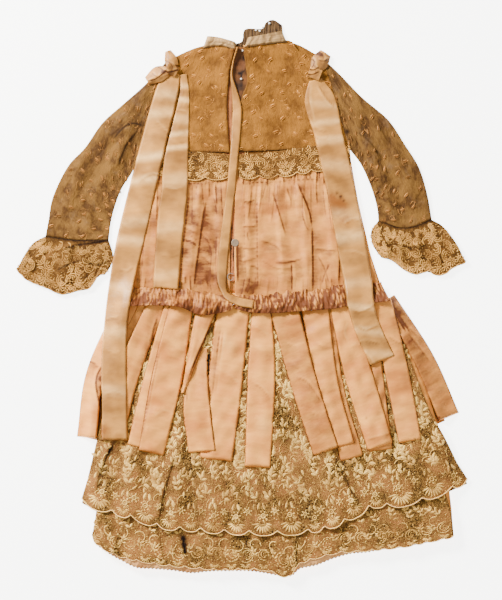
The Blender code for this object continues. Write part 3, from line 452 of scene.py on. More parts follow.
class Thread:
    """An output socket. Arithmetic between threads and numbers adds Math nodes."""

    def __init__(self, weave, socket):
        self.weave = weave
        self.socket = socket

    def maths(self, operation, first, second):
        return self.weave.node("ShaderNodeMath", {"operation": operation}, first, second)

    def __add__(self, other):
        return self.maths("ADD", self, other)

    def __sub__(self, other):
        return self.maths("SUBTRACT", self, other)

    def __rsub__(self, other):
        return self.maths("SUBTRACT", other, self)

    def __mul__(self, other):
        return self.maths("MULTIPLY", self, other)

    def __truediv__(self, other):
        return self.maths("DIVIDE", self, other)

    def __pow__(self, other):
        return self.maths("POWER", self, other)

    __radd__ = __add__
    __rmul__ = __mul__


class Weave:
    """A node tree, shader or geometry, built by one method for every kind of node."""

    def __init__(self, tree):
        self.tree = tree

    def node(self, kind, settings=(), *values, output=None, **named):
        made = self.tree.nodes.new(kind)
        for setting, value in dict(settings).items():
            setattr(made, setting, value)
        shown = [socket for socket in made.inputs if socket.enabled]
        pairs = list(zip(shown, values))
        for label, value in named.items():
            name = label.replace("_", " ")
            pairs.append((next(socket for socket in shown if socket.name == name), value))
        for socket, value in pairs:
            self.feed(socket, value)
        outputs = [socket for socket in made.outputs if socket.enabled]
        if not outputs:
            return made
        chosen = outputs[0] if output is None else next(s for s in outputs if s.name == output)
        return Thread(self, chosen)

    def named(self, attribute, kind):
        """A value stored on the geometry under a name."""
        return self.node("GeometryNodeInputNamedAttribute", {"data_type": kind}, attribute)

    def feed(self, socket, value):
        if value is None:
            return
        if isinstance(value, Thread):
            self.tree.links.new(value.socket, socket)
        else:
            socket.default_value = value


class Finish(Weave):
    """The material of one kind of cloth, thread or metal."""

    def __init__(self, name, **uniform):
        self.material = bpy.data.materials.new(name)
        self.material.use_nodes = True
        super().__init__(self.material.node_tree)
        self.shader = self.tree.nodes["Principled BSDF"]
        for label, value in uniform.items():
            self.shader.inputs[label.replace("_", " ")].default_value = value

    def cloth_place(self, across=1.0, along=1.0):
        """The cloth's own coordinates in metres, stretched for patterns that are longer one way."""
        place = self.node("ShaderNodeUVMap", {"uv_map": "UVMap"})
        return self.node("ShaderNodeMapping", {"vector_type": "POINT"}, place, Scale=(across, along, 1.0))

    def table_place(self):
        return self.node("ShaderNodeTexCoord", output="Object")

    def noise(self, place, scale, detail=3.0, roughness=0.55):
        return self.node("ShaderNodeTexNoise", {"noise_dimensions": "3D"}, Vector=place, Scale=scale,
                         Detail=detail, Roughness=roughness)

    def mesh_of_net(self, place, scale):
        """Nearness to the threads of a net: 0 on a thread, rising into each hole."""
        return self.node("ShaderNodeTexVoronoi", {"feature": "DISTANCE_TO_EDGE"}, Vector=place, Scale=scale)

    def spread(self, value, low, high, to_low=0.0, to_high=1.0):
        return self.node("ShaderNodeMapRange", {"clamp": True}, value, low, high, to_low, to_high)

    def painted(self, attribute):
        return self.node("ShaderNodeAttribute", {"attribute_name": attribute}, output="Fac")

    def blend(self, share, first, second):
        return self.node("ShaderNodeMix", {"data_type": "RGBA"}, Factor=share, A=first, B=second)

    def relief(self, height, distance, strength=1.0, under=None):
        return self.node("ShaderNodeBump", {}, Height=height, Distance=distance, Strength=strength,
                         Normal=under)

    def finish(self, **ends):
        for label, value in ends.items():
            self.feed(self.shader.inputs[label.replace("_", " ")], value)
        return self.material


def silk_finish(name, pale, deep, crease_shade, highlight_colour, roughness, bars, stain=None):
    """Plain silk: soft weft bars, clouding, painted shade in creases and painted highlights beside them, and
    stains where they are painted.
    """
    cloth = Finish(name, Specular_IOR_Level=0.2)
    place = cloth.cloth_place()
    clouds = cloth.noise(place, 26.0, 2.0)
    weft = cloth.noise(cloth.cloth_place(14.0, bars), 1.0, 3.0, 0.6)
    slubs = cloth.noise(cloth.cloth_place(160.0, 1400.0), 1.0, 2.0)
    crumple = cloth.noise(cloth.cloth_place(60.0, 110.0), 1.0, 3.0, 0.6)
    tone = cloth.spread(clouds * 0.45 + weft * 0.55, 0.38, 0.66)
    colour = cloth.blend(tone, deep, pale)
    colour = cloth.blend(cloth.spread(slubs, 0.3, 0.7, 0.0, 0.12), colour, deep)
    if stain is not None:
        edge = cloth.noise(place, 120.0, 2.0)
        spotted = cloth.spread(cloth.painted("stain") * (edge * 1.2 + 0.4), 0.12, 0.8)
        colour = cloth.blend(spotted * 0.85, colour, stain)
    shade = cloth.painted("shade") * cloth.spread(crumple, 0.32, 0.68, 0.65, 1.3)
    # painted shade in the creases, then a painted highlight where the shade is below zero
    colour = cloth.blend(cloth.spread(shade, 0.02, 0.95), colour, crease_shade)
    colour = cloth.blend(cloth.spread(shade, -1.0, -0.02, 1.0, 0.0), colour, highlight_colour)
    rough = cloth.spread(tone + shade, 0.0, 1.6, roughness, roughness + 0.25)
    bump = cloth.relief(slubs, 0.00012, 0.6, cloth.relief(crumple, 0.0011, 0.7))
    return cloth.finish(Base_Color=colour, Roughness=rough, Normal=bump)


def lace_over_silk(name, pale, deep, patch, hole_shade, patch_share):
    """Fine embroidered net laid over silk: mottled, with the shadow of its mesh."""
    cloth = Finish(name, Specular_IOR_Level=0.1)
    place = cloth.cloth_place()
    clouds = cloth.noise(place, 34.0, 4.0, 0.62)
    vines = cloth.noise(cloth.cloth_place(170.0, 120.0), 1.0, 3.0, 0.7)
    net = cloth.mesh_of_net(place, 620.0)
    colour = cloth.blend(cloth.spread(clouds, 0.4, 0.6), deep, pale)
    mottling = cloth.noise(cloth.table_place(), 58.0, 4.0, 0.7)
    colour = cloth.blend(cloth.spread(mottling, 0.55, 0.74, 0.0, patch_share), colour, patch)
    colour = cloth.blend(cloth.spread(vines, 0.48, 0.72, 0.0, 0.65), colour, pale)
    colour = cloth.blend(cloth.spread(net, 0.1, 0.5, 0.0, 0.42), colour, hole_shade)
    # painted shade of folds and creases, from the cloth's shade attribute
    colour = cloth.blend(cloth.spread(cloth.painted("shade"), 0.02, 1.15), colour, hole_shade)
    bump = cloth.relief(1.0 - net, 0.0004, 0.5, cloth.relief(vines + clouds, 0.0016, 0.8))
    return cloth.finish(Base_Color=colour, Roughness=cloth.spread(clouds, 0.3, 0.7, 0.7, 0.9), Normal=bump)


def lace_ground(name, thread, silk, hole_shade, scale, silk_share):
    """The open ground of a lace flounce: straw threads, gaps painted dark as shade, and the silk that shows
    through.
    """
    cloth = Finish(name, Specular_IOR_Level=0.1)
    place = cloth.cloth_place()
    net = cloth.mesh_of_net(place, scale)
    clumps = cloth.noise(place, 190.0, 3.0, 0.65)
    clouds = cloth.noise(place, 22.0, 3.0)
    under = cloth.blend(cloth.spread(clouds, 0.42, 0.62, 0.0, silk_share), hole_shade, silk)
    thread_share = cloth.spread(net, 0.05, 0.2, 1.0, 0.0)
    colour = cloth.blend(thread_share * 0.6 + cloth.spread(clumps, 0.5, 0.64) * 0.35, under, thread)
    # painted shade of folds and creases, from the cloth's shade attribute
    colour = cloth.blend(cloth.spread(cloth.painted("shade"), 0.02, 1.1), colour, DEEP_SHADE_BROWN)
    bump = cloth.relief(thread_share + clumps, 0.0007, 0.8)
    return cloth.finish(Base_Color=colour, Roughness=cloth.spread(clumps, 0.3, 0.7, 0.75, 0.92), Normal=bump)


def thread_finish(name, pale, deep):
    """Raised stitching: twisted straw thread, paler where it is thick."""
    cloth = Finish(name, Specular_IOR_Level=0.15)
    place = cloth.table_place()
    clouds = cloth.noise(place, 46.0, 3.0)
    twist = cloth.noise(place, 420.0, 2.0)
    colour = cloth.blend(cloth.spread(clouds + twist * 0.6, 0.55, 1.0), deep, pale)
    # painted shade of the cloth below, carried onto its stitches
    colour = cloth.blend(cloth.spread(cloth.painted("shade"), 0.02, 1.0), colour, NET_SHADE_DARK)
    return cloth.finish(Base_Color=colour, Roughness=cloth.spread(twist, 0.3, 0.7, 0.6, 0.85),
                        Normal=cloth.relief(twist, 0.0004, 0.7))


def pearl_finish(name, pale, deep):
    shell = Finish(name, Coat_Weight=0.3, Coat_Roughness=0.15)
    rings = shell.noise(shell.table_place(), 700.0, 3.0)
    colour = shell.blend(rings, pale, deep)
    return shell.finish(Base_Color=colour, Roughness=shell.spread(rings, 0.3, 0.7, 0.2, 0.4))


def wire_finish():
    wire = Finish("hook_wire_bright", Metallic=0.85)
    wear = wire.noise(wire.table_place(), 900.0, 3.0)
    return wire.finish(Base_Color=wire.blend(wear, WIRE, srgb(150, 140, 124)),
                       Roughness=wire.spread(wear, 0.3, 0.7, 0.2, 0.5))


def table_finish():
    paper = Finish("white_table", Specular_IOR_Level=0.1, Emission_Color=TABLE_WHITE, Emission_Strength=6.0)
    grain = paper.noise(paper.table_place(), 4.0, 2.0)
    return paper.finish(Base_Color=paper.blend(grain, TABLE_WHITE, srgb(242, 242, 238)),
                        Roughness=paper.spread(grain, 0.0, 1.0, 0.85, 0.95))


FINISHES = {
    "yoke": lace_over_silk("gold_yoke_lace", GOLD_YOKE, GOLD_YOKE_DEEP, STRAW_DEEP, NET_SHADE_DARK, 0.25),
    "sleeve": lace_over_silk("olive_sleeve_lace", OLIVE_SLEEVE, OLIVE_SLEEVE_DEEP, SLEEVE_GREY, NET_SHADE_DARK,
                             0.6),
    "guipure_ground": lace_ground("guipure_ground", srgb(134, 90, 38), srgb(108, 70, 30), NET_SHADE_DARK, 480.0,
                                  0.8),
    "flounce_ground": lace_ground("flounce_ground", NET_THREAD, FLOUNCE_PINK, NET_SHADE_DARK, 360.0, 0.95),
    "guipure_thread": thread_finish("guipure_thread", srgb(230, 172, 86), srgb(140, 94, 40)),
    "lace_thread": thread_finish("straw_lace_thread", STRAW, STRAW_DEEP),
    "olive_thread": thread_finish("olive_sprig_thread", srgb(176, 118, 56), srgb(104, 66, 26)),
    "gold_thread": thread_finish("gold_sprig_thread", srgb(206, 140, 62), srgb(136, 84, 32)),
    "cord": thread_finish("cream_edge_cord", CORD_CREAM, STRAW),
    # each silk's fourth colour is its painted crease shade, its fifth its painted highlight
    "pink": silk_finish("pink_silk", PINK, PINK_DEEP, PINK_CREASE_SHADE, PINK_LIT, 0.45, 46.0, SATIN_STAIN),
    "satin": silk_finish("beige_satin", SATIN, SATIN_DEEP, SATIN_CREASE_SHADE, SATIN_LIT, 0.36, 26.0, SATIN_STAIN),
    "frill": silk_finish("pinked_frill", srgb(255, 196, 124), srgb(214, 140, 76), PINK_CREASE_SHADE, CORD_CREAM,
                         0.6, 60.0),
    "facing": silk_finish("brown_facing", FACING_BROWN, srgb(52, 32, 12), DEEP_SHADE_BROWN, srgb(136, 90, 46),
                          0.6, 60.0, srgb(206, 122, 66)),
    "gauze": silk_finish("gauze_band", GAUZE, GAUZE_DEEP, SATIN_CREASE_SHADE, CORD_CREAM, 0.75, 300.0),
    "ruching": silk_finish("brown_ruching", RUCHING, srgb(76, 52, 26), DEEP_SHADE_BROWN, GAUZE, 0.7, 200.0),
    "pearl": pearl_finish("grey_pearl", srgb(150, 126, 98), PEARL),
    "bead": pearl_finish("white_bead", BEAD, srgb(214, 200, 180)),
    "wire": wire_finish(),
}


CURVE_STEPS = 12


def soft_line(points, samples):
    """Evenly spaced points along a soft curve through a few rows of numbers."""
    rows = np.array(points, float)
    padded = np.vstack([2 * rows[0] - rows[1], rows, 2 * rows[-1] - rows[-2]])
    fine = []
    for a, b, c, d in zip(padded, padded[1:], padded[2:], padded[3:]):
        for t in np.arange(CURVE_STEPS) / CURVE_STEPS:
            fine.append(0.5 * (2 * b + (c - a) * t + (2 * a - 5 * b + 4 * c - d) * t ** 2
                               + (3 * b - a - 3 * c + d) * t ** 3))
    fine = np.array(fine + [rows[-1]])
    steps = np.linalg.norm(np.diff(fine[:, :2], axis=0), axis=1)
    run = np.concatenate([[0], np.cumsum(steps)])
    at = np.linspace(0, run[-1], samples)
    return np.column_stack([np.interp(at, run, column) for column in fine.T])


def panel(outline, columns, rows):
    """Net of points inside the four edges of an outline."""
    top, hem, left, right = outline
    across = np.linspace(0, 1, columns + 1)[None, :, None]
    down = np.linspace(0, 1, rows + 1)[:, None, None]
    upper = soft_line(top, columns + 1)[None]
    lower = soft_line(hem, columns + 1)[None]
    side_left = soft_line((top[0], *left, hem[0]), rows + 1)[:, None]
    side_right = soft_line((top[-1], *right, hem[-1]), rows + 1)[:, None]
    corners = ((1 - down) * ((1 - across) * upper[:, :1] + across * upper[:, -1:])
               + down * ((1 - across) * lower[:, :1] + across * lower[:, -1:]))
    return (1 - down) * upper + down * lower + (1 - across) * side_left + across * side_right - corners


def strip(stations, columns, rows):
    """Net of points along a ribbon given by its middle line and its width."""
    line = soft_line(stations, rows + 1)
    along = np.gradient(line[:, :2], axis=0)
    along /= np.linalg.norm(along, axis=1, keepdims=True)
    sideways = np.column_stack([-along[:, 1], along[:, 0]])
    share = np.linspace(-0.5, 0.5, columns + 1)
    offset = share[None, :, None] * (line[:, 2:] * sideways)[:, None, :]
    return line[:, None, :2] + offset


def lobe_edges(count, seed, uneven):
    """Where the lobes of a hem begin and end, as shares of its width; some are half hidden in folds."""
    widths = np.random.default_rng(seed).uniform(1 - uneven, 1 + uneven, count)
    return np.concatenate([[0], np.cumsum(widths)]) / widths.sum()


UPPER_EDGES = lobe_edges(UPPER_LOBES, seed=17, uneven=0.38)


def scallop(net, edges, depth, reach=0.12):
    """Draw the hem up into notches between rounded lobes, over the last share of the length."""
    phase = np.interp(np.linspace(0, 1, net.shape[1]), edges, np.arange(len(edges)))
    notch = depth * (1 - np.abs(np.sin(pi * phase))) ** 1.5
    near_hem = np.clip((np.linspace(0, 1, net.shape[0]) - 1 + reach) / reach, 0, 1)[:, None]
    net[..., 1] += notch * near_hem


TUCK_POINTS = 25
# in millimetres: a tuck's edge, then its painted dark foot, painted soft shadow and painted gleam, each off
# the edge and wide
TUCK_EDGE = 0.55
SHADE_OFF = 0.6
SHADE_WIDE = 1.0
SHADOW_OFF = 3.0
SHADOW_WIDE = 5.0
SHADOW_SHARE = 0.36
GLEAM_OFF = 2.0
GLEAM_WIDE = 1.5
GLEAM_SHARE = 0.45
# share of a tuck's run over which it fades at each end, and how far past an end it still shows
TUCK_FADE = 0.16
TUCK_PAST = 3
# exponents stop here, where the lip is long gone
LIP_GONE = 50


def tuck_relief(net, tucks, wide=1.0):
    """Heights of creases and their painted shade: one side stands up with a painted gleam, and the foot of
    the step is painted dark.
    """
    heights = np.zeros(net.shape[:2])
    shade = np.zeros(net.shape[:2])
    gleam = np.zeros(net.shape[:2])
    for tuck in map(Tuck._make, tucks):
        line = soft_line(((tuck.x_top, tuck.y_top), (tuck.x_mid, tuck.y_mid), (tuck.x_end, tuck.y_end)),
                         TUCK_POINTS)
        run = np.gradient(line, axis=0)
        run /= np.linalg.norm(run, axis=1, keepdims=True)
        gap = net[:, :, None, :] - line[None, None]
        nearest = np.argmin((gap ** 2).sum(axis=3), axis=2)
        gap = np.take_along_axis(gap, nearest[..., None, None], axis=2)[:, :, 0]
        way = run[nearest]
        side = (way[..., 0] * gap[..., 1] - way[..., 1] * gap[..., 0]) * np.sign(tuck.step or 1.0)
        beyond = np.abs((way * gap).sum(axis=2))
        share = nearest / (TUCK_POINTS - 1)
        fade = np.clip(np.minimum(share, 1 - share) / TUCK_FADE, 0.0, 1.0) ** 0.7
        fade *= np.exp(-(beyond / TUCK_PAST) ** 2)
        lip = np.exp(-np.maximum(side, 0) / tuck.reach)
        lip /= 1 + np.exp(np.minimum(-side / TUCK_EDGE, LIP_GONE))
        heights += abs(tuck.step) * lip * fade
        foot = np.exp(-((side + SHADE_OFF) / SHADE_WIDE / wide) ** 2)
        shadow = SHADOW_SHARE * np.exp(-((side + SHADOW_OFF) / SHADOW_WIDE / wide) ** 2)
        shade = np.maximum(shade, tuck.shade * fade * np.maximum(foot, shadow))
        lit = np.exp(-((side - GLEAM_OFF) / GLEAM_WIDE / wide) ** 2)
        gleam = np.maximum(gleam, GLEAM_SHARE * max(tuck.shade, 0) ** 0.5 * fade * lit)
    return heights, shade - gleam * (1 - shade.clip(0, 1))


# how quickly a spot fades, and how far the painted bars of sheen lean
SPOT_EDGE = 1.2
BAND_SLANT = 0.12
# how many waves make up the unevenness, and how high their sum comes
RIPPLE_WAVES = 7
RIPPLE_CREST = 4
PUCKER_BREAKS = 4


def spots_on(net, spots):
    """How strongly each point of a net is stained by its spots, and the painted shade they give it; shade
    below zero is a painted highlight.
    """
    stain = np.zeros(net.shape[:2])
    shade = np.zeros(net.shape[:2])
    for spot in map(Spot._make, spots):
        near = np.exp(-(np.linalg.norm(net - (spot.x, spot.y), axis=2) / spot.radius) ** 2 * SPOT_EDGE)
        stain = np.maximum(stain, spot.stain * near)
        shade += spot.shade * near
    return stain, shade


def banded(net, bands):
    """Painted sheen that lies across a ribbon in soft bars, a little aslant; a bar with negative gleam is
    painted shade.
    """
    shade = np.zeros(net.shape[:2])
    middle = net.mean(axis=1, keepdims=True)[..., 0]
    for number, band in enumerate(map(Band._make, bands)):
        slant = BAND_SLANT * (-1) ** number * (net[..., 0] - middle)
        shade -= band.gleam * np.exp(-((net[..., 1] + slant - band.y) / band.half) ** 2)
    return shade


def ripples(net, size, height, seed):
    """Gentle unevenness of cloth that was handled, as a few long waves in unlike directions."""
    random = np.random.default_rng(seed)
    total = np.zeros(net.shape[:2])
    for _ in range(RIPPLE_WAVES):
        turn = random.uniform(0, tau)
        wave = size * random.uniform(0.7, 1.8)
        phase = random.uniform(0, tau)
        total += np.sin((net @ (cos(turn), sin(turn))) * tau / wave + phase)
    return total * height / RIPPLE_CREST


def puckers(net, spacing, height, seed, slant=0.0):
    """Crowded little gathers that run down the piece, uneven in width and broken along their run, with
    painted shade in their valleys.
    """
    random = np.random.default_rng(seed)
    rows, columns = net.shape[:2]
    steps = np.linalg.norm(np.diff(net[rows // 2], axis=0), axis=1)
    run = np.concatenate([[0], np.cumsum(steps)])
    knots = np.arange(0, run[-1] + spacing, spacing / 2)
    breaks = range(PUCKER_BREAKS)
    bend = random.uniform(-0.45, 0.45, (PUCKER_BREAKS, len(knots))) * spacing
    down = np.linspace(0, PUCKER_BREAKS - 1, rows)
    wander = np.array([[np.interp(d, breaks, bend[:, k]) for k in range(len(knots))] for d in down])
    shifted = np.array([np.interp(run, knots, row) for row in wander])
    lean = slant * np.linspace(-1, 1, rows)[:, None]
    phase = (run[None] + shifted + lean) / spacing
    strong = np.array([np.interp(run, knots, random.uniform(0.45, 1.0, len(knots))) for _ in breaks])
    strength = np.array([[np.interp(d, breaks, strong[:, c]) for c in range(columns)] for d in down])
    valley = 0.5 + 0.5 * np.cos(tau * phase)
    return height * strength * (1 - valley), strength * valley ** 2.5


class Pile:
    """Highest cloth so far over each square millimetre of the table."""

    def __init__(self):
        self.top = np.full((2 * PILE_HALF[0], 2 * PILE_HALF[1]), -CONTACT)

    def cells(self, flat):
        places = np.rint(flat + np.array(PILE_HALF)).astype(int)
        return tuple(np.clip(places[..., axis], 0, self.top.shape[axis] - 1) for axis in (0, 1))

    def height(self, net):
        return self.top[self.cells(net)]

    def add(self, net, heights):
        points = np.dstack([net, heights])
        for axis in (0, 1):
            points = finer(points, axis)
        np.maximum.at(self.top, self.cells(points[..., :2]), points[..., 2])


def finer(points, axis):
    """Points between the rows or the columns of a net."""
    count = (points.shape[axis] - 1) * UPSAMPLE + 1
    at = np.linspace(0, points.shape[axis] - 1, count)
    low = np.minimum(at.astype(int), points.shape[axis] - 2)
    share = (at - low).reshape([-1, 1, 1] if axis == 0 else [1, -1, 1])
    return np.take(points, low, axis) * (1 - share) + np.take(points, low + 1, axis) * share


# a face counts as upper when this share of its normal points up
FACES_UP = 0.25


def solid_top(node, net):
    """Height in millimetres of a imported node's upper face over each point of a net."""
    mesh = frame["nodes"][node].data
    mesh.calc_loop_triangles()
    points = np.array([vert.co for vert in mesh.vertices]) / MM
    faces = np.array([tri.vertices for tri in mesh.loop_triangles])
    a, b, c = (points[faces[:, k]] for k in range(3))
    normals = np.cross(b - a, c - a)
    upper = normals[:, 2] > FACES_UP * np.linalg.norm(normals, axis=1)
    faces, a, normals = faces[upper], a[upper], normals[upper]
    flat = points * (1, 1, 0)
    tree = BVHTree.FromPolygons(flat.tolist(), faces.tolist())
    heights = np.empty(net.shape[:2])
    for place in np.ndindex(*heights.shape):
        spot, _, index, _ = tree.find_nearest((*(net[place] - MIDDLE), 0.0))
        normal = normals[index]
        away = np.array(spot)[:2] - a[index, :2]
        heights[place] = a[index, 2] - (normal[:2] @ away) / normal[2]
    return heights


def even_out(heights, passes):
    """Soften heights along the rows and columns of a net."""
    for _ in range(passes):
        padded = np.pad(heights, 1, mode="edge")
        beside = padded[1:-1, :-2] + padded[1:-1, 2:] + padded[:-2, 1:-1] + padded[2:, 1:-1]
        heights = 0.5 * heights + 0.125 * beside
    return heights


PILE = Pile()
DRESS = bpy.data.collections.new("child_dress_looks")
bpy.context.scene.collection.children.link(DRESS)
CLOTHS = []
# each piece takes its own part of the endless pattern, this many metres from the last one's
PATTERN_STEP = (0.37, 0.23)
# brightest and darkest shade that a cloth keeps
SHADE_RANGE = (-1.0, 1.3)


def link(name, mesh, *finishes):
    for finish in finishes:
        mesh.materials.append(finish)
    item = bpy.data.objects.new(name, mesh)
    DRESS.objects.link(item)
    return item


def plain_mesh(name, mesh):
    """The mesh data of a finished bmesh."""
    data = bpy.data.meshes.new(name)
    mesh.to_mesh(data)
    mesh.free()
    return data


def smooth_mesh(name, mesh):
    data = plain_mesh(name, mesh)
    data.shade_smooth()
    return data


SLOTS = {part["node"]: part["material_slot"] for part in frame["record"]["subparts"]}


class Cloth:
    """One cut piece: laid over what is below, with its creases, its shade and its own coordinates."""

    def __init__(self, node, finish, net, relief=0.0, shade=0.0, stain=0.0, ease=6, shell=SHELL,
                 held="laid", droop=0.0, keep=None):
        self.node = node
        self.net = net
        self.shell = shell
        self.held = held
        heights = even_out(solid_top(node, net), ease) + relief
        floor = PILE.height(net) + shell + CONTACT
        if droop:
            heights = heights * (1 - self.border(droop)) + floor * self.border(droop)
        self.heights = np.maximum(heights, floor)
        PILE.add(net, self.heights)
        self.corner = np.array(PATTERN_STEP) * len(CLOTHS)
        self.item = self.make(FINISHES[finish], shade, stain, keep)
        CLOTHS.append(self)

    def border(self, reach):
        """Share of 1 on the piece's two long edges and its hem, falling to 0 inside."""
        rows, columns = self.net.shape[:2]
        width = np.linalg.norm(self.net[:, -1] - self.net[:, 0], axis=1)[:, None]
        across = np.linspace(0, 1, columns)[None]
        from_edge = np.minimum(across, 1 - across) * width
        length = np.linalg.norm(np.diff(self.net[:, columns // 2], axis=0), axis=1).sum()
        from_hem = (1 - np.linspace(0, 1, rows))[:, None] * length
        return np.clip(1 - np.minimum(from_edge, from_hem) / reach, 0, 1) ** 2

    def size(self):
        """Width and length of what shows of the piece, along its net, in metres."""
        rows = np.linalg.norm(np.diff(self.net, axis=1), axis=2).sum(axis=1)
        columns = np.linalg.norm(np.diff(self.net, axis=0), axis=2).sum(axis=0)
        return np.array((rows.max(), columns.max())) * MM

    def coordinates(self):
        """Cloth coordinates in metres: across from the left edge, up from the hem."""
        rows, columns = self.net.shape[:2]
        across, up = np.meshgrid(np.linspace(0, 1, columns), np.linspace(1, 0, rows))
        return np.dstack([across, up]) * self.size() + self.corner

    def make(self, finish, shade, stain, keep):
        rows, columns = self.net.shape[:2]
        mesh = bmesh.new()
        bmesh.ops.create_grid(mesh, x_segments=columns - 1, y_segments=rows - 1, size=1.0)
        places = np.dstack([self.net - MIDDLE, self.heights])[::-1].reshape(-1, 3) * MM
        for vert, place in zip(mesh.verts, places):
            vert.co = place
        if keep is not None:
            mesh.faces.ensure_lookup_table()
            spare = [face for face, kept in zip(mesh.faces, keep[::-1].ravel()) if not kept]
            bmesh.ops.delete(mesh, geom=spare, context="FACES_ONLY")
        data = smooth_mesh(self.node + "_cloth", mesh)
        corners = np.empty(len(data.loops), np.int32)
        data.loops.foreach_get("vertex_index", corners)
        flat = self.coordinates()[::-1].reshape(-1, 2)
        data.uv_layers.new(name="UVMap").data.foreach_set("uv", flat[corners].ravel())
        for label, values in (("shade", shade), ("stain", stain)):
            painted = (np.zeros((rows, columns)) + values)[::-1].ravel().clip(*SHADE_RANGE)
            data.attributes.new(label, "FLOAT", "POINT").data.foreach_set("value", painted)
        return link(self.node + "_cloth", data, finish)

    def thicken(self):
        """Give the piece its wall, downwards from the face that shows."""
        wall = self.item.modifiers.new("wall", "SOLIDIFY")
        wall.thickness = self.shell * MM
        wall.offset = -1

    def declare(self):
        """Hide the solid that this piece stands for, and hang the piece from the root."""
        width, length = self.size()
        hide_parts(self.node)
        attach(self.item, "root")


def body_fronts():
    """Front of the dress above the waist, face down on the table and finished plainly."""
    yoke = panel(OUTLINES["yoke_front"], 50, 30)
    bodice = panel(OUTLINES["bodice_front"], 60, 30)
    Cloth("yoke_front", "yoke", yoke, ripples(yoke, size=60, height=0.3, seed=1))
    Cloth("bodice_front", "pink", bodice, ripples(bodice, size=40, height=0.4, seed=2), held="gathered")
    band = panel(OUTLINES["shirring_front"], 140, 5)
    gathered = puckers(band, spacing=5, height=0.6, seed=3)[0]
    Cloth("waist_shirring_front", "pink", band, gathered, held="gathered")
    for side in ("left", "right"):
        net = panel(OUTLINES[f"sleeve_{side}"], 24, 30)
        Cloth(f"sleeve_{side}_under", "sleeve", net, ripples(net, size=50, height=0.3, seed=4))
        net = panel(OUTLINES[f"cuff_{side}"], 24, 12)
        waves = ripples(net, size=20, height=0.4, seed=5)
        Cloth(f"cuff_{side}_under", "guipure_ground", net, waves, held="gathered")


def front_tabs(count=12, slit=2.5, fine=6, rows=24, sewn=6):
    """Front row of tabs, joined along their sewn tops like a comb."""
    coarse = 2 * count - 1
    net = panel(OUTLINES["tabs_front"], coarse * fine, rows)
    keep = np.ones((rows, coarse * fine), bool)
    for gap in range(1, coarse, 2):
        first, last = gap * fine, (gap + 1) * fine
        middle = (net[:, first] + net[:, last]) / 2
        along = net[:, last] - net[:, first]
        along /= np.linalg.norm(along, axis=1, keepdims=True)
        for column, share in zip(range(first, last + 1), np.linspace(-0.5, 0.5, fine + 1)):
            net[:, column] = middle + along * slit * share
        keep[sewn:, first:last] = False
    for start in range(0, coarse, 2):
        first, last = start * fine, (start + 1) * fine
        for column, share in zip(range(first, last + 1), np.linspace(0, 1, fine + 1)):
            net[:, column] = net[:, first] * (1 - share) + net[:, last] * share
    # the whole front row carries painted shade, where it lies in shadow under the back tabs
    Cloth("tabs_front", "pink", net, shade=0.5, keep=keep, ease=2)


def skirts():
    for name, seed in (("skirt_front", 11), ("skirt_back", 12)):
        net = panel(OUTLINES["skirt"], 40, 30)
        Cloth(name, "pink", net, ripples(net, size=50, height=0.4, seed=seed), held="gathered")


def front_flounces():
    for part, rows, seed in (("upper", 22, 13), ("lower", 12, 14)):
        net = panel(OUTLINES[f"{part}_flounce"], 60, rows)
        waves = ripples(net, size=60, height=0.4, seed=seed)
        Cloth(f"flounce_{part}_front", "flounce_ground", net, waves, shell=LACE_SHELL, held="gathered")


FRILL_TEETH = 96
FRILL_TOOTH = 1.6
FRILL_WAVES = 36
# where the frill shows below the lace, as shares of the hem, how widely and by how much
FRILL_SHOWN = (0.27, 0.62, 0.76, 0.12)
FRILL_REACH = 0.035
FRILL_DROP = 3.0


def hem_frill():
    """Silk frill whose pinked edge shows below the lace in places."""
    net = panel(OUTLINES["hem_frill"], columns=4 * FRILL_TEETH, rows=6)
    share = np.linspace(0, 1, net.shape[1])
    teeth = np.abs((share * FRILL_TEETH) % 1 - 0.5) * 2
    shown = sum(np.exp(-((share - middle) / FRILL_REACH) ** 2) for middle in FRILL_SHOWN)
    net[-1, :, 1] -= teeth * FRILL_TOOTH + shown * FRILL_DROP
    waves = (0.5 - 0.5 * np.cos(tau * FRILL_WAVES * share)) * np.linspace(0, 1, net.shape[0])[:, None]
    Cloth("hem_frill_back", "frill", net, waves, held="gathered")


def back_flounces():
    """The two lace flounces that show, with their folds raised further than the rows give them."""
    lower = panel(OUTLINES["lower_flounce"], 216, 46)
    scallop(lower, lobe_edges(count=26, seed=18, uneven=0.3), depth=3.0, reach=0.1)
    upper = panel(OUTLINES["upper_flounce"], 216, 86)
    scallop(upper, UPPER_EDGES, UPPER_NOTCH)
    made = []
    for part, net, folds, wide, stand, waves in (
            ("lower", lower, LOWER_FLOUNCE_FOLDS, 1.5, 1.5, (18, 0.7, 15)),
            ("upper", upper, UPPER_FLOUNCE_FOLDS, 1.7, 1.6, (22, 0.6, 16))):
        relief, shade = tuck_relief(net, folds, wide)
        heights = stand * relief + ripples(net, *waves)
        shade += spots_on(net, FLOUNCE_SHADE_SPOTS)[1]
        made.append(Cloth(f"flounce_{part}_back", "flounce_ground", net, heights, shade, ease=8,
                          shell=LACE_SHELL, held="gathered"))
    return made


# share of a band's half width that the painted shade along its sewn edge takes
EDGE_SHARE = 0.14


def edge_shade(net, strength):
    """Painted shade along the two sewn edges of a band."""
    share = np.abs(np.linspace(-1, 1, net.shape[1]))
    edge = np.clip((share - 1 + EDGE_SHARE) / EDGE_SHARE, 0, 1)
    return np.broadcast_to(strength * edge ** 2, net.shape[:2])


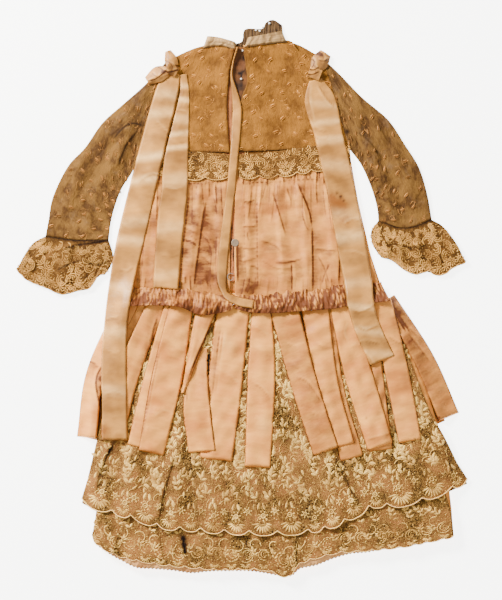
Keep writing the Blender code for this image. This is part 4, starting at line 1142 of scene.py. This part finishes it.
def back_tabs():
    for number, (name, stations) in enumerate(TABS.items()):
        net = strip(stations, 22, 78)
        relief, shade = tuck_relief(net, CREASES.get(name, ()), wide=1.5)
        stain, spotted = spots_on(net, SILK_STAIN_AND_SHADE_SPOTS)
        waves = ripples(net, size=24, height=1.3, seed=20 + number)
        shade += edge_shade(net, 0.9) + spotted + TAB_SHADE.get(name, 0.0)
        Cloth(name, "pink", net, relief + waves, shade, stain, ease=10, droop=2.2, held="folded")


# where silk shows on the facing: below a height, about a height, and beside the left edge under a height
FACING_SILK_TOP = 205
FACING_PATCH = 317
FACING_PLACKET = -13
FACING_PLACKET_TOP = 288


def opening_facing():
    """Brown facing in the slit, which shows pink silk low down, near its top and along its left edge."""
    net = strip(FACING, 16, 100)
    relief, shade = tuck_relief(net, FACING_FOLDS)
    shade = shade + spots_on(net, FACING_SHADE_SPOTS)[1]
    x, y = net[..., 0], net[..., 1]
    silk = 1.3 / (1 + np.exp((y - FACING_SILK_TOP) / 12))
    silk += 0.26 * np.exp(-((y - FACING_PATCH) / 11) ** 2)
    silk += 0.42 * (x < FACING_PLACKET) / (1 + np.exp((y - FACING_PLACKET_TOP) / 5))
    # a little painted shade over the whole facing, down in the slit, with more in its folds
    Cloth("opening_facing", "facing", net, relief, np.maximum(shade, 0.1), silk, ease=3)


def collar_front():
    net = panel(OUTLINES["collar_front"], 96, 22)
    relief, shade = puckers(net, spacing=4.5, height=1.4, seed=31, slant=3.0)
    Cloth("collar_front", "ruching", net, relief, shade, ease=3, held="gathered")


def gathers(row):
    """Short tucks that run down from a gathered seam, uneven in place and length."""
    random = np.random.default_rng(row.seed)
    tucks = []
    for share in (np.arange(row.count) + 0.5) / row.count:
        x = row.left + (row.right - row.left) * share + random.uniform(-2, 2)
        y = row.top + random.uniform(-2, 3)
        length = random.uniform(row.shortest, row.longest)
        drift = row.lean * (share - 0.5) * length + random.uniform(-1.5, 1.5)
        side = random.choice((-1.0, 1.0))
        step = side * random.uniform(0.4, 1.0)
        reach = random.uniform(2.0, 3.5)
        tucks.append(Tuck(x, y, x + drift * 0.4, y - length / 2, x + drift, y - length, step, reach,
                          row.dark * random.uniform(0.3, 1.4)))
    return tucks


# share of a yoke's width that its dark seam at the opening takes, and the shade of its last two rows
OPENING_SEAM = 0.035
YOKE_FOOT = (1.1, 0.5)
BODICE_TONE = {"left": 0.36, "right": 0.18}


def body_backs():
    """The two halves of the back, apart along the opening."""
    backs = []
    for side, columns in (("left", 56), ("right", 64)):
        net = panel(OUTLINES[f"yoke_back_{side}"], columns, 64)
        edge = np.linspace(0, 1, net.shape[1])[::-1 if side == "right" else 1]
        dark = 0.5 * np.clip((edge - 1 + OPENING_SEAM) / OPENING_SEAM, 0, 1)
        seam = np.broadcast_to(dark, net.shape[:2]).copy()
        seam[-1], seam[-2] = YOKE_FOOT
        waves = ripples(net, size=34, height=0.5, seed=41)
        backs.append(Cloth(f"yoke_back_{side}", "yoke", net, waves, seam, ease=8))
    for side, columns in (("left", 126), ("right", 190)):
        name = f"bodice_back_{side}"
        net = panel(OUTLINES[name], columns, 96)
        small = [tuck for row in GATHERS[side] for tuck in gathers(row)] + [SEAM_CREASES[side]]
        relief, shade = tuck_relief(net, CREASES[name], wide=1.6)
        small_relief, small_shade = tuck_relief(net, small, wide=1.2)
        stain, spotted = spots_on(net, SILK_STAIN_AND_SHADE_SPOTS)
        # random patches added to the painted shade, darker, and a little lighter below zero
        mottling = ripples(net, size=30, height=0.22, seed=49).clip(-0.1, 0.3)
        shade = np.maximum(shade * 1.3 + mottling, small_shade) + spotted + BODICE_TONE[side]
        waves = ripples(net, size=26, height=0.6, seed=46)
        backs.append(Cloth(name, "pink", net, relief + small_relief + waves, shade, stain, ease=6,
                           held="gathered"))
    return backs


# how a cuff's creases and ground darken it, and the shade of its first rows, under the sleeve's edge
CUFF_CREASES = 0.72
CUFF_TONE = {"left": 0.1, "right": -0.02}
WRIST_SHADE = (1.0, 0.6, 0.3)


def upper_sleeves():
    made = []
    for side, folds in (("left", LEFT_SLEEVE_FOLDS), ("right", RIGHT_SLEEVE_FOLDS)):
        net = panel(OUTLINES[f"sleeve_{side}"], 54, 86)
        relief, shade = tuck_relief(net, folds, wide=2.0)
        waves = ripples(net, size=30, height=0.8, seed=51)
        made.append(Cloth(f"sleeve_{side}_upper", "sleeve", net, relief + waves,
                          shade + spots_on(net, SLEEVE_SHADE_SPOTS)[1], ease=8))
    for side, folds in (("left", LEFT_CUFF_FOLDS), ("right", RIGHT_CUFF_FOLDS)):
        net = panel(OUTLINES[f"cuff_{side}"], 84, 44)
        scallop(net, lobe_edges(count=12, seed=19, uneven=0.3), depth=2.6)
        relief, shade = tuck_relief(net, folds, wide=1.7)
        shade = shade * CUFF_CREASES + CUFF_TONE[side]
        shade[:len(WRIST_SHADE)] += np.array(WRIST_SHADE)[:, None]
        waves = ripples(net, size=14, height=0.7, seed=52)
        made.append(Cloth(f"cuff_{side}_upper", "guipure_ground", net, relief + waves, shade, ease=6,
                          shell=LACE_SHELL, held="gathered"))
    return made


def collar_backs():
    for side, columns, seed in (("left", 50, 61), ("right", 66, 62)):
        net = panel(OUTLINES[f"collar_back_{side}"], columns, 16)
        relief, shade = puckers(net, spacing=9, height=0.9, seed=seed, slant=2.0)
        Cloth(f"collar_back_{side}", "gauze", net, relief, shade * 0.5, ease=2, held="gathered", droop=3.0)


def lace_bands():
    made = []
    for side, columns, lobes, lobe_seed, seed in (("left", 76, 4, 20, 63), ("right", 92, 6, 21, 64)):
        net = panel(OUTLINES[f"lace_band_{side}"], columns, 24)
        scallop(net, lobe_edges(lobes, lobe_seed, uneven=0.25), depth=4.5, reach=0.3)
        waves = ripples(net, size=14, height=0.4, seed=seed)
        made.append(Cloth(f"lace_band_{side}", "guipure_ground", net, waves, ease=2, shell=LACE_SHELL))
    return made


SHIRRING_TONE = 0.4


def waist_shirring():
    """Puckered band with a frilled upper edge, with painted shade in its valleys and along its foot."""
    for side, columns, seed, dark in (("left", 150, 71, 0.6), ("right", 210, 72, 1.0)):
        net = panel(OUTLINES[f"waist_shirring_{side}"], columns, 26)
        relief, shade = puckers(net, spacing=7.5, height=1.5, seed=seed, slant=4.5)
        fine, fine_shade = puckers(net, spacing=5.0, height=0.8, seed=seed + 9, slant=-2.0)
        down = np.linspace(0, 1, net.shape[0])[:, None]
        # painted shade along the foot of the band, stronger towards the bottom
        under = (0.5 + ripples(net, size=20, height=0.9, seed=seed + 5)).clip(0, 1) * down ** 3
        # random darker patches added to the painted shade
        mottling = ripples(net, size=18, height=0.5, seed=seed + 6).clip(0, 1)
        shade = dark * np.maximum(shade, fine_shade) + under * 1.2 + mottling + SHIRRING_TONE
        net[0, :, 1] += np.abs(ripples(net[:1], size=14, height=4.0, seed=seed)[0])
        Cloth(f"waist_shirring_{side}", "pink", net, relief + fine, shade, ease=3, held="gathered")


def streamers():
    rows = (("centre_ribbon", CENTRE_RIBBON, 10, 220, (), ()),
            ("streamer_left_short", STREAMER_LEFT_SHORT, 20, 120, STREAMER_SHORT_CREASES, SHORT_BANDS),
            ("streamer_left_long", STREAMER_LEFT_LONG, 20, 200, STREAMER_LONG_CREASES, LONG_BANDS),
            ("streamer_right", STREAMER_RIGHT, 22, 170, STREAMER_RIGHT_CREASES, RIGHT_BANDS))
    for number, (name, stations, columns, length, tucks, bands) in enumerate(rows):
        net = strip(stations, columns, length)
        relief, shade = tuck_relief(net, tucks, wide=1.4)
        stain, spotted = spots_on(net, RIBBON_STAIN_AND_SHADE_SPOTS)
        waves = ripples(net, size=34, height=0.35, seed=80 + number)
        shade += edge_shade(net, 0.35) + spotted + banded(net, bands)
        Cloth(name, "satin", net, relief + waves, shade, stain, ease=14, droop=1.5)


def bows():
    rows = (("bow_loop_left_low", LOOP_LEFT_LOW), ("bow_loop_left_up", LOOP_LEFT_UP),
            ("bow_loop_right", LOOP_RIGHT), ("knot_left", KNOT_LEFT), ("knot_right", KNOT_RIGHT))
    for name, stations in rows:
        net = strip(stations, 30, 30)
        relief, shade = tuck_relief(net, BOW_CREASES)
        stain, spotted = spots_on(net, BOW_SHADE_SPOTS)
        shade += spotted + edge_shade(net, 0.3)
        Cloth(name, "satin", net, relief, shade, stain, ease=2, held="folded")


# half a button's section, from the middle of its face to the middle of its back, in radii and heights
BUTTON_PROFILE = ((0.0, 0.88), (0.5, 0.88), (0.62, 0.9), (0.78, 1.0), (0.92, 0.92), (1.0, 0.6), (0.92, 0.1),
                  (0.0, 0.0))
BEAD_RADIUS = 1.5


def button():
    """Pearl button with a raised rim around its sunken middle."""
    low, high = (np.array(corner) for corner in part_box("button"))
    radius = (high - low)[0] / 2
    middle = (low + high) / 2
    mesh = bmesh.new()
    height = high[2] - low[2]
    verts = [mesh.verts.new((radius * r, 0, low[2] + height * z)) for r, z in BUTTON_PROFILE]
    edges = [mesh.edges.new(pair) for pair in zip(verts, verts[1:])]
    bmesh.ops.spin(mesh, geom=verts + edges, cent=(0, 0, 0), axis=(0, 0, 1), angle=tau, steps=32,
                   use_duplicate=False)
    bmesh.ops.remove_doubles(mesh, verts=mesh.verts, dist=1e-6)
    bmesh.ops.recalc_face_normals(mesh, faces=mesh.faces)
    bmesh.ops.translate(mesh, verts=mesh.verts, vec=(middle[0], middle[1], 0))
    item = link("button_pearl", smooth_mesh("button_pearl", mesh), FINISHES["pearl"])
    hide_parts("button")
    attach(item, "root")


def beads():
    """Small white beads on the ruching and in the slit."""
    mesh = bmesh.new()
    for x, y, lift in BEADS:
        top = PILE.height(np.array((x, y)))
        place = Matrix.Translation((*(np.array((x, y)) - MIDDLE) * MM, (top + lift) * MM))
        bmesh.ops.create_uvsphere(mesh, u_segments=12, v_segments=8, radius=BEAD_RADIUS * MM, matrix=place)
    item = link("white_beads", smooth_mesh("white_beads", mesh), FINISHES["bead"])
    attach(item, "root")


TABLE_REACH = 20.0
TABLE_DROP = 0.2


def table():
    """Plain white table just under the dress, wide enough for a low view."""
    mesh = bmesh.new()
    bmesh.ops.create_grid(mesh, x_segments=2, y_segments=2, size=TABLE_REACH)
    data = plain_mesh("table", mesh)
    data.materials.append(table_finish())
    item = bpy.data.objects.new("table", data)
    bpy.context.scene.collection.objects.link(item)
    item.location.z = -TABLE_DROP * MM


def fan(across, up, radius, spread, count, finger, width=0.3):
    """Fingers of satin stitch that fan out towards the hem."""
    return [Motif(across + radius * sin(angle), up - radius * cos(angle), angle - pi / 2, finger,
                  finger * width, 0.9, LEAF) for angle in np.linspace(-spread, spread, count)]


# how far a leaf splays from its stem, and how much the stem bends at each pair
LEAF_SPLAY = 0.85
STEM_BEND = 0.22


def sprig(across, up, turn, leaf, pairs, stride):
    """Leaves in pairs along a bent stem, with one at its tip."""
    rows = []
    for step in range(pairs):
        across += cos(turn) * stride
        up += sin(turn) * stride
        for side in (-1, 1):
            way = turn + side * LEAF_SPLAY
            rows.append(Motif(across + cos(way) * leaf * 0.55, up + sin(way) * leaf * 0.55, way, leaf,
                              leaf * 0.46, 0.9, LEAF))
        turn += STEM_BEND
    rows.append(Motif(across + cos(turn) * leaf, up + sin(turn) * leaf, turn, leaf * 1.15, leaf * 0.5,
                      1.0, LEAF))
    return rows


def bloom(across, up, radius, petals, leaf):
    """Round flower of petals about a ring."""
    rows = [Motif(across, up, 0.0, radius, radius, 1.0, RING)]
    for angle in np.arange(petals) * tau / petals + 0.2:
        rows.append(Motif(across + cos(angle) * radius * 0.85, up + sin(angle) * radius * 0.85, angle, leaf,
                          leaf * 0.55, 0.8, LEAF))
    return rows


def arc(across, up, radius, first, last, count, leaf):
    """Leaves end to end along part of a circle, as the outline of a scroll."""
    return [Motif(across + cos(angle) * radius, up + sin(angle) * radius, angle + pi / 2, leaf, leaf * 0.3,
                  0.8, LEAF) for angle in np.linspace(first, last, count)]


def dots(width, low, high, spacing, seed):
    """Small knots scattered between the larger motifs."""
    random = np.random.default_rng(seed)
    rows = []
    for up in np.arange(low, high, spacing):
        for across in np.arange(0, width, spacing):
            size = random.uniform(0.9, 1.7)
            rows.append(Motif(across + random.uniform(-0.5, 0.5) * spacing,
                              up + random.uniform(-0.5, 0.5) * spacing, 0.0, size, size, 0.6, DOT))
    return rows


def upper_lace_chart(width, length):
    """Finger fans in the lobes, ringed blooms above them, then sprigs up to the waist."""
    random = np.random.default_rng(101)
    lobe = width / UPPER_LOBES
    rows = []
    for first, last in zip(UPPER_EDGES, UPPER_EDGES[1:]):
        middle = (first + last) / 2 * width
        part = (last - first) * UPPER_LOBES
        heart = 4 + 13.5 * part
        rows += fan(middle, heart, 9.5 * part, 1.2, 7 + round(2 * part), 9.0 * part, 0.26 / part ** 0.4)
        rows += arc(middle, heart, 3.6 * part, pi, tau, 5, 2.8)
        rows += arc(middle, heart + 1, 6.0 * part, 0.3, pi - 0.3, 6, 4.2)
        rows += bloom(middle + random.uniform(-3, 3), heart + 8, 7.5, 7, 3.6)
        rows += bloom(first * width, heart + 13, random.uniform(5.0, 7.5), 6, 3.8)
        rows += [Motif(middle + offset, heart + 21, pi / 2 + offset * 0.08, 10.5, 4.0, 1.1, LEAF)
                 for offset in (-4, 4)]
    for level, up in enumerate(np.arange(47, length, 19)):
        for middle in (np.arange(UPPER_LOBES * 1.75) + 0.5 * (level % 2)) * lobe / 1.75:
            turn = pi / 2 + random.uniform(-1.0, 0.8)
            x = middle + random.uniform(-3, 3)
            y = up + random.uniform(-4, 4)
            rows += sprig(x, y, turn, random.uniform(8.0, 11.0), random.integers(1, 3), 8.0)
            rows += arc(x + 9, y - 8, random.uniform(8, 12), turn, turn + 1.7, 6, 3.6)
            rows.append(Motif(x + 9, y + random.uniform(-7, 7), random.uniform(0.8, 2.4), 9.0, 3.2, 1.0,
                              LEAF))
    return rows + dots(width, 6, length, 6.5, 102)


def lower_lace_chart(width, length):
    """Scrolled medallions over a border of small fans."""
    random = np.random.default_rng(111)
    count = 22
    lobe = width / count
    rows = []
    for spot in (np.arange(count) + 0.5) * lobe:
        middle = spot + random.uniform(-3.5, 3.5)
        high = 21 + random.uniform(-2.5, 3.5)
        part = random.uniform(0.85, 1.25)
        start = random.uniform(0, tau)
        rows += fan(middle, 9, 5.0, 1.3, 7, 5.0, 0.34)
        rows += arc(middle, high, 8.6 * part, start, start + random.uniform(3.4, 5.2), 10, 4.6)
        rows += arc(middle + 1, high + 1, 5.6 * part, start + 0.6, start + 4.6, 7, 4.2)
        rows += arc(middle + 2, high + 1, 2.8 * part, start + 1.2, start + 5.0, 4, 3.0)
        rows += arc(middle - lobe / 2, high + 14, 7.5, start, start + 3.0, 7, 5.0)
        rows += sprig(middle - lobe / 2, high - 6, pi / 2 + random.uniform(-0.5, 0.5), 5.5, 2, 5.0)
        turn = pi / 2 + random.uniform(-0.6, 0.6)
        rows += sprig(middle, 42, turn, 7.0, 3, 7.0)
        rows += sprig(middle + lobe / 2, 66, turn, 7.0, 3, 7.0)
    return rows + dots(width, 3, length, 6.0, 112)


SCROLL_RADII = (2.0, 4.0, 6.0)
SCROLL_THREAD = 1.5


def guipure_chart(width, length, lobes, seed, scale, plain):
    """Thick lace: close-set blooms and scrolls, with fans in the lobes of the edge."""
    random = np.random.default_rng(seed)
    rows = []
    lobe = width / lobes
    for middle in (np.arange(lobes) + 0.5) * lobe:
        reach = min(8.0, lobe * 0.5)
        rows += fan(middle, reach + 4, reach, 1.35, 9 if reach == 8.0 else 6, 0.75 * reach, 0.42)
        rows += arc(middle, reach + 4, reach / 2, pi, tau, 5, 3.0)
        rows += bloom(middle, reach + 5, 4.6, 5, 3.4)
    for level, up in enumerate(np.arange(20, length - plain, 10.5 * scale)):
        for across in np.arange(6 * scale * (level % 2), width, 13 * scale):
            x = across + random.uniform(-1.6, 1.6) * scale
            y = up + random.uniform(-1.4, 1.4) * scale
            turn = random.uniform(0, tau)
            for step, radius in enumerate(SCROLL_RADII):
                span = random.uniform(2.2, 4.0)
                count = 3 + 2 * step
                leaf = 1.7 * scale * radius * span / count
                rows += [motif._replace(width=SCROLL_THREAD) for motif in
                         arc(x, y, scale * radius, turn, turn + span, count, leaf)]
                turn += random.uniform(-0.5, 0.9)
    return rows + dots(width, 1, length - plain, 6.0, seed + 1)


# headings of a sprig, and the place and width of its two strokes as shares of its length
SPRIG_TURNS = (0.35, 0.15, 0.6, -0.5)
SPRIG_STROKES = ((0.12, 0.32), (-0.2, 0.13))


def sprig_chart(width, length, spacing, seed, extra, stroke):
    """Small double-stroke sprigs, set in half-drop rows."""
    random = np.random.default_rng(seed)
    rows = []
    for level, up in enumerate(np.arange(spacing * 0.3, length, spacing * 0.62)):
        for across in np.arange(spacing * (0.25 + 0.5 * (level % 2)), width, spacing):
            x = across + random.uniform(-0.16, 0.16) * spacing
            y = up + random.uniform(-0.16, 0.16) * spacing
            turn = random.choice(SPRIG_TURNS) + random.uniform(-0.15, 0.15)
            size = stroke * random.uniform(0.85, 1.15)
            for gap, width_share in SPRIG_STROKES:
                rows.append(Motif(x - sin(turn) * gap * stroke, y + cos(turn) * gap * stroke, turn, size,
                                  size * width_share, 1.1, LEAF))
            if random.random() < extra:
                rows.append(Motif(x + random.uniform(-6, 6), y + random.uniform(-7, 7),
                                  random.uniform(0, pi), stroke * 0.7, 1.4, 0.7, LEAF))
                rows.append(Motif(x + random.uniform(-7, 7), y + random.uniform(-7, 7),
                                  0.0, 1.6, 1.6, 0.7, DOT))
                first = random.uniform(0, tau)
                bend = random.uniform(7, 11)
                rows += [motif._replace(width=0.7, height=0.45)
                         for motif in arc(x, y, bend, first, first + 1.4, 6, 2.8)]
    return rows


def closed_mesh(name, places, faces):
    mesh = bmesh.new()
    verts = [mesh.verts.new(place) for place in places]
    for face in faces:
        mesh.faces.new([verts[index] for index in face])
    bmesh.ops.recalc_face_normals(mesh, faces=mesh.faces)
    return bpy.data.objects.new(name, plain_mesh(name, mesh))


def leaf_shape():
    """Two halves of satin stitch that meet in a ridge, pointed at both ends."""
    places = [(-0.5, 0, 0), (0.5, 0, 0)]
    for along, half, ridge in ((-0.24, 0.42, 0.85), (0.06, 0.5, 1.0), (0.32, 0.32, 0.7)):
        places += [(along, -half, 0), (along, 0, ridge), (along, half, 0)]
    faces = [(0, 2, 3), (0, 3, 4), (1, 8, 9), (1, 9, 10), (0, 2, 5, 8, 1, 10, 7, 4)]
    for first in (2, 5):
        faces += [(first, first + 1, first + 4, first + 3), (first + 1, first + 2, first + 5, first + 4)]
    return closed_mesh("leaf_shape", places, faces)


def ring_shape(steps=10, around=4):
    """Corded ring with an eye in its middle."""
    places = []
    for turn in np.arange(steps) * tau / steps:
        for tilt in np.arange(around) * tau / around:
            reach = 0.38 + 0.12 * cos(tilt)
            places.append((reach * cos(turn), reach * sin(turn), 0.5 + 0.5 * sin(tilt)))
    faces = []
    for step in range(steps):
        for part in range(around):
            here, ahead = step * around, (step + 1) % steps * around
            beside = (part + 1) % around
            faces.append((here + part, ahead + part, ahead + beside, here + beside))
    eye = len(places)
    places += [(0.15 * cos(turn), 0.15 * sin(turn), 0.1) for turn in np.arange(6) * tau / 6] + [(0, 0, 0.9)]
    faces += [(eye + part, eye + (part + 1) % 6, eye + 6) for part in range(6)]
    faces.append(tuple(range(eye, eye + 6)))
    return closed_mesh("ring_shape", places, faces)


def dot_shape():
    """Small knot."""
    places = [(0.5 * cos(turn), 0.5 * sin(turn), 0.0) for turn in np.arange(6) * tau / 6] + [(0, 0, 1)]
    faces = [(part, (part + 1) % 6, 6) for part in range(6)] + [tuple(range(6))]
    return closed_mesh("dot_shape", places, faces)


def new_tree(name, sockets):
    tree = bpy.data.node_groups.new(name, "GeometryNodeTree")
    for label, kind in sockets:
        tree.interface.new_socket(label, in_out="INPUT", socket_type=kind)
    tree.interface.new_socket("Made", in_out="OUTPUT", socket_type="NodeSocketGeometry")
    weave = Weave(tree)
    asked = tree.nodes.new("NodeGroupInput")
    return weave, {label: Thread(weave, asked.outputs[label]) for label, _ in sockets}


def close_tree(weave, made):
    result = weave.tree.nodes.new("NodeGroupOutput")
    weave.feed(result.inputs["Made"], made)
    return weave.tree


def motif_tree():
    """Lays the chart's motifs on a cloth, flat to it, each turned along its own heading."""
    weave, asked = new_tree("lay_motifs", (
        ("Chart", "NodeSocketGeometry"), ("Cloth", "NodeSocketObject"), ("Leaf", "NodeSocketObject"),
        ("Ring", "NodeSocketObject"), ("Dot", "NodeSocketObject"), ("Thread", "NodeSocketMaterial")))
    cloth = weave.node("GeometryNodeObjectInfo", {}, asked["Cloth"], output="Geometry")
    layout, place, ahead, size = (weave.named(name, "FLOAT_VECTOR")
                                  for name in ("UVMap", "place", "ahead", "size"))
    kind = weave.named("kind", "INT")
    position = weave.node("GeometryNodeInputPosition")
    sampling = {"data_type": "FLOAT_VECTOR"}
    sampler = "GeometryNodeSampleUVSurface"
    here = weave.node(sampler, sampling, cloth, position, layout, place, output="Value")
    found = weave.node(sampler, sampling, cloth, position, layout, place, output="Is Valid")
    there = weave.node(sampler, sampling, cloth, position, layout, ahead, output="Value")
    normal = weave.node(sampler, sampling, cloth, weave.node("GeometryNodeInputNormal"), layout, place,
                        output="Value")
    lost = weave.node("FunctionNodeBooleanMath", {"operation": "NOT"}, found)
    heading = weave.node("ShaderNodeVectorMath", {"operation": "SUBTRACT"}, there, here)
    upright = weave.node("FunctionNodeAlignRotationToVector", {"axis": "Z"}, Vector=normal)
    turned = weave.node("FunctionNodeAlignRotationToVector", {"axis": "X", "pivot_axis": "Z"}, upright,
                        Vector=heading)
    kept = weave.node("GeometryNodeStoreNamedAttribute", {"data_type": "QUATERNION", "domain": "POINT"},
                      asked["Chart"], Name="turned", Value=turned)
    # the cloth's painted shade, carried onto the stitches that lie on it
    dark = weave.named("shade", "FLOAT")
    shade = weave.node(sampler, {"data_type": "FLOAT"}, cloth, dark, layout, place, output="Value")
    kept = weave.node("GeometryNodeStoreNamedAttribute", {"data_type": "FLOAT", "domain": "POINT"}, kept,
                      Name="shade", Value=shade)
    points = weave.node("GeometryNodeSetPosition", {}, kept, Position=here)
    points = weave.node("GeometryNodeDeleteGeometry", {"domain": "POINT"}, points, lost)
    facing = weave.named("turned", "QUATERNION")
    joined = weave.tree.nodes.new("GeometryNodeJoinGeometry")
    for index, label in enumerate(("Leaf", "Ring", "Dot")):
        shape = weave.node("GeometryNodeObjectInfo", {}, asked[label], output="Geometry")
        chosen = weave.node("FunctionNodeCompare", {"data_type": "INT", "operation": "EQUAL"}, kind, index)
        laid = weave.node("GeometryNodeInstanceOnPoints", {}, points, chosen, shape, Rotation=facing,
                          Scale=size)
        weave.feed(joined.inputs[0], laid)
    real = weave.node("GeometryNodeRealizeInstances", {}, Thread(weave, joined.outputs[0]))
    return close_tree(weave, weave.node("GeometryNodeSetMaterial", {}, real, Material=asked["Thread"]))


def cord_tree():
    """Round cord along a line of points."""
    weave, asked = new_tree("lay_cord", (("Line", "NodeSocketGeometry"), ("Radius", "NodeSocketFloat"),
                                         ("Thread", "NodeSocketMaterial")))
    path = weave.node("GeometryNodeMeshToCurve", {}, asked["Line"])
    profile = weave.node("GeometryNodeCurvePrimitiveCircle", {}, Resolution=6, Radius=asked["Radius"])
    cord = weave.node("GeometryNodeCurveToMesh", {}, path, profile, Fill_Caps=True)
    return close_tree(weave, weave.node("GeometryNodeSetMaterial", {}, cord, Material=asked["Thread"]))


MOTIFS = motif_tree()
CORD = cord_tree()
SHAPES = {"Leaf": leaf_shape(), "Ring": ring_shape(), "Dot": dot_shape()}


def worked(name, source, tree, slot, **asked):
    """The mesh that a node tree makes of a source, as a piece of its own."""
    item = bpy.data.objects.new(name, source)
    DRESS.objects.link(item)
    weaving = item.modifiers.new("weaving", "NODES")
    weaving.node_group = tree
    sockets = {socket.name: socket.identifier for socket in tree.interface.items_tree
               if socket.in_out == "INPUT"}
    for label, value in asked.items():
        weaving[sockets[label]] = value
    item.update_tag()
    graph = bpy.context.evaluated_depsgraph_get()
    made = bpy.data.meshes.new_from_object(item.evaluated_get(graph), depsgraph=graph)
    item.modifiers.remove(weaving)
    item.data = made
    made.name = name
    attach(item, "root")
    return item


def embroider(cloth, chart, thread):
    """Raised stitches on a cloth."""
    rows = np.array([tuple(motif) for motif in chart], float)
    width, length = cloth.size() / MM
    inside = (rows[:, 0] > 0) & (rows[:, 0] < width) & (rows[:, 1] > 0) & (rows[:, 1] < length)
    rows = rows[inside]
    place = rows[:, :2] * MM + cloth.corner
    ahead = place + np.column_stack([np.cos(rows[:, 2]), np.sin(rows[:, 2])]) * MM * 0.7
    flat = np.zeros((len(rows), 1))
    source = bpy.data.meshes.new(cloth.node + "_chart")
    source.from_pydata([(0, 0, 0)] * len(rows), [], [])
    for label, values in (("place", np.hstack([place, flat])), ("ahead", np.hstack([ahead, flat])),
                          ("size", rows[:, 3:6] * MM)):
        source.attributes.new(label, "FLOAT_VECTOR", "POINT").data.foreach_set("vector", values.ravel())
    source.attributes.new("kind", "INT", "POINT").data.foreach_set("value", rows[:, 6].astype(np.int32))
    return worked(cloth.node + "_stitches", source, MOTIFS, SLOTS[cloth.node], Cloth=cloth.item,
                  Thread=FINISHES[thread], **SHAPES)


# a cord's place from the hem it is sewn along: across, inwards, up
CORD_PLACE = (0, 0.4, 0.2)


def edge_cord(cloth, thread, radius):
    """Cord sewn along the hem of a lace."""
    line = np.dstack([cloth.net - MIDDLE, cloth.heights])[-1] + CORD_PLACE
    source = bpy.data.meshes.new(cloth.node + "_hem")
    source.from_pydata(line * MM, [(index, index + 1) for index in range(len(line) - 1)], [])
    return worked(cloth.node + "_cord", source, CORD, SLOTS[cloth.node], Radius=radius * MM,
                  Thread=FINISHES[thread])


def lace():
    """Every raised stitch of the yoke, sleeves, cuffs, bands and flounces."""
    for cloth, chart, radius in ((UPPER_LACE, upper_lace_chart, 0.75), (LOWER_LACE, lower_lace_chart, 0.5)):
        embroider(cloth, chart(*(cloth.size() / MM)), "lace_thread")
        edge_cord(cloth, "cord", radius)
    for cloth, *cut in ((SLEEVES[2], 12, 121, 1.3, 15), (SLEEVES[3], 12, 124, 1.3, 3),
                        (BANDS[0], 5, 127, 1.2, 2), (BANDS[1], 6, 130, 1.2, 2)):
        embroider(cloth, guipure_chart(*(cloth.size() / MM), *cut), "guipure_thread")
        edge_cord(cloth, "guipure_thread", radius=0.7)
    for cloth, spacing, seed, extra, thread in (
            (BACKS[0], 27, 141, 0.6, "gold_thread"), (BACKS[1], 27, 142, 0.6, "gold_thread"),
            (SLEEVES[0], 34, 143, 0.8, "olive_thread"), (SLEEVES[1], 34, 144, 0.8, "olive_thread")):
        embroider(cloth, sprig_chart(*(cloth.size() / MM), spacing, seed, extra, stroke=7.5), thread)


CAMERA_PLACE = (0.01218, -0.00237)
CAMERA_HEIGHT = 3.0
FRAME_HEIGHT = 0.810


def camera():
    """Straight above, with the photograph's frame."""
    data = bpy.data.cameras.new("camera")
    data.sensor_fit = "VERTICAL"
    data.sensor_height = 24.0
    data.lens = data.sensor_height * CAMERA_HEIGHT / FRAME_HEIGHT
    item = bpy.data.objects.new("camera", data)
    item.location = (*CAMERA_PLACE, CAMERA_HEIGHT)
    bpy.context.scene.collection.objects.link(item)
    bpy.context.scene.camera = item


def lamp(name, place, power, size):
    data = bpy.data.lights.new(name, "AREA")
    data.energy = power
    data.size = size
    item = bpy.data.objects.new(name, data)
    item.location = place
    item.rotation_euler = (-item.location).to_track_quat("-Z", "Y").to_euler()
    bpy.context.scene.collection.objects.link(item)


SKY_LIGHT = 0.62


def lights():
    lamp("window", place=(-1.6, 1.4, 1.25), power=240.0, size=0.6)
    lamp("fill", place=(1.6, -0.8, 2.2), power=22.0, size=2.0)
    world = bpy.data.worlds.new("studio")
    world.use_nodes = True
    sky = world.node_tree.nodes["Background"].inputs
    sky["Color"].default_value = (1.0, 1.0, 1.0, 1.0)
    sky["Strength"].default_value = SKY_LIGHT
    bpy.context.scene.world = world


camera()
lights()
table()
body_fronts()
front_tabs()
front_flounces()
skirts()
hem_frill()
LOWER_LACE, UPPER_LACE = back_flounces()
back_tabs()
collar_front()
opening_facing()
BACKS = body_backs()
SLEEVES = upper_sleeves()
collar_backs()
BANDS = lace_bands()
waist_shirring()
streamers()
bows()
beads()
lace()
for cloth in CLOTHS:
    cloth.thicken()
    cloth.declare()
button()
frame["nodes"]["hook"].material_slots[0].material = FINISHES["wire"]
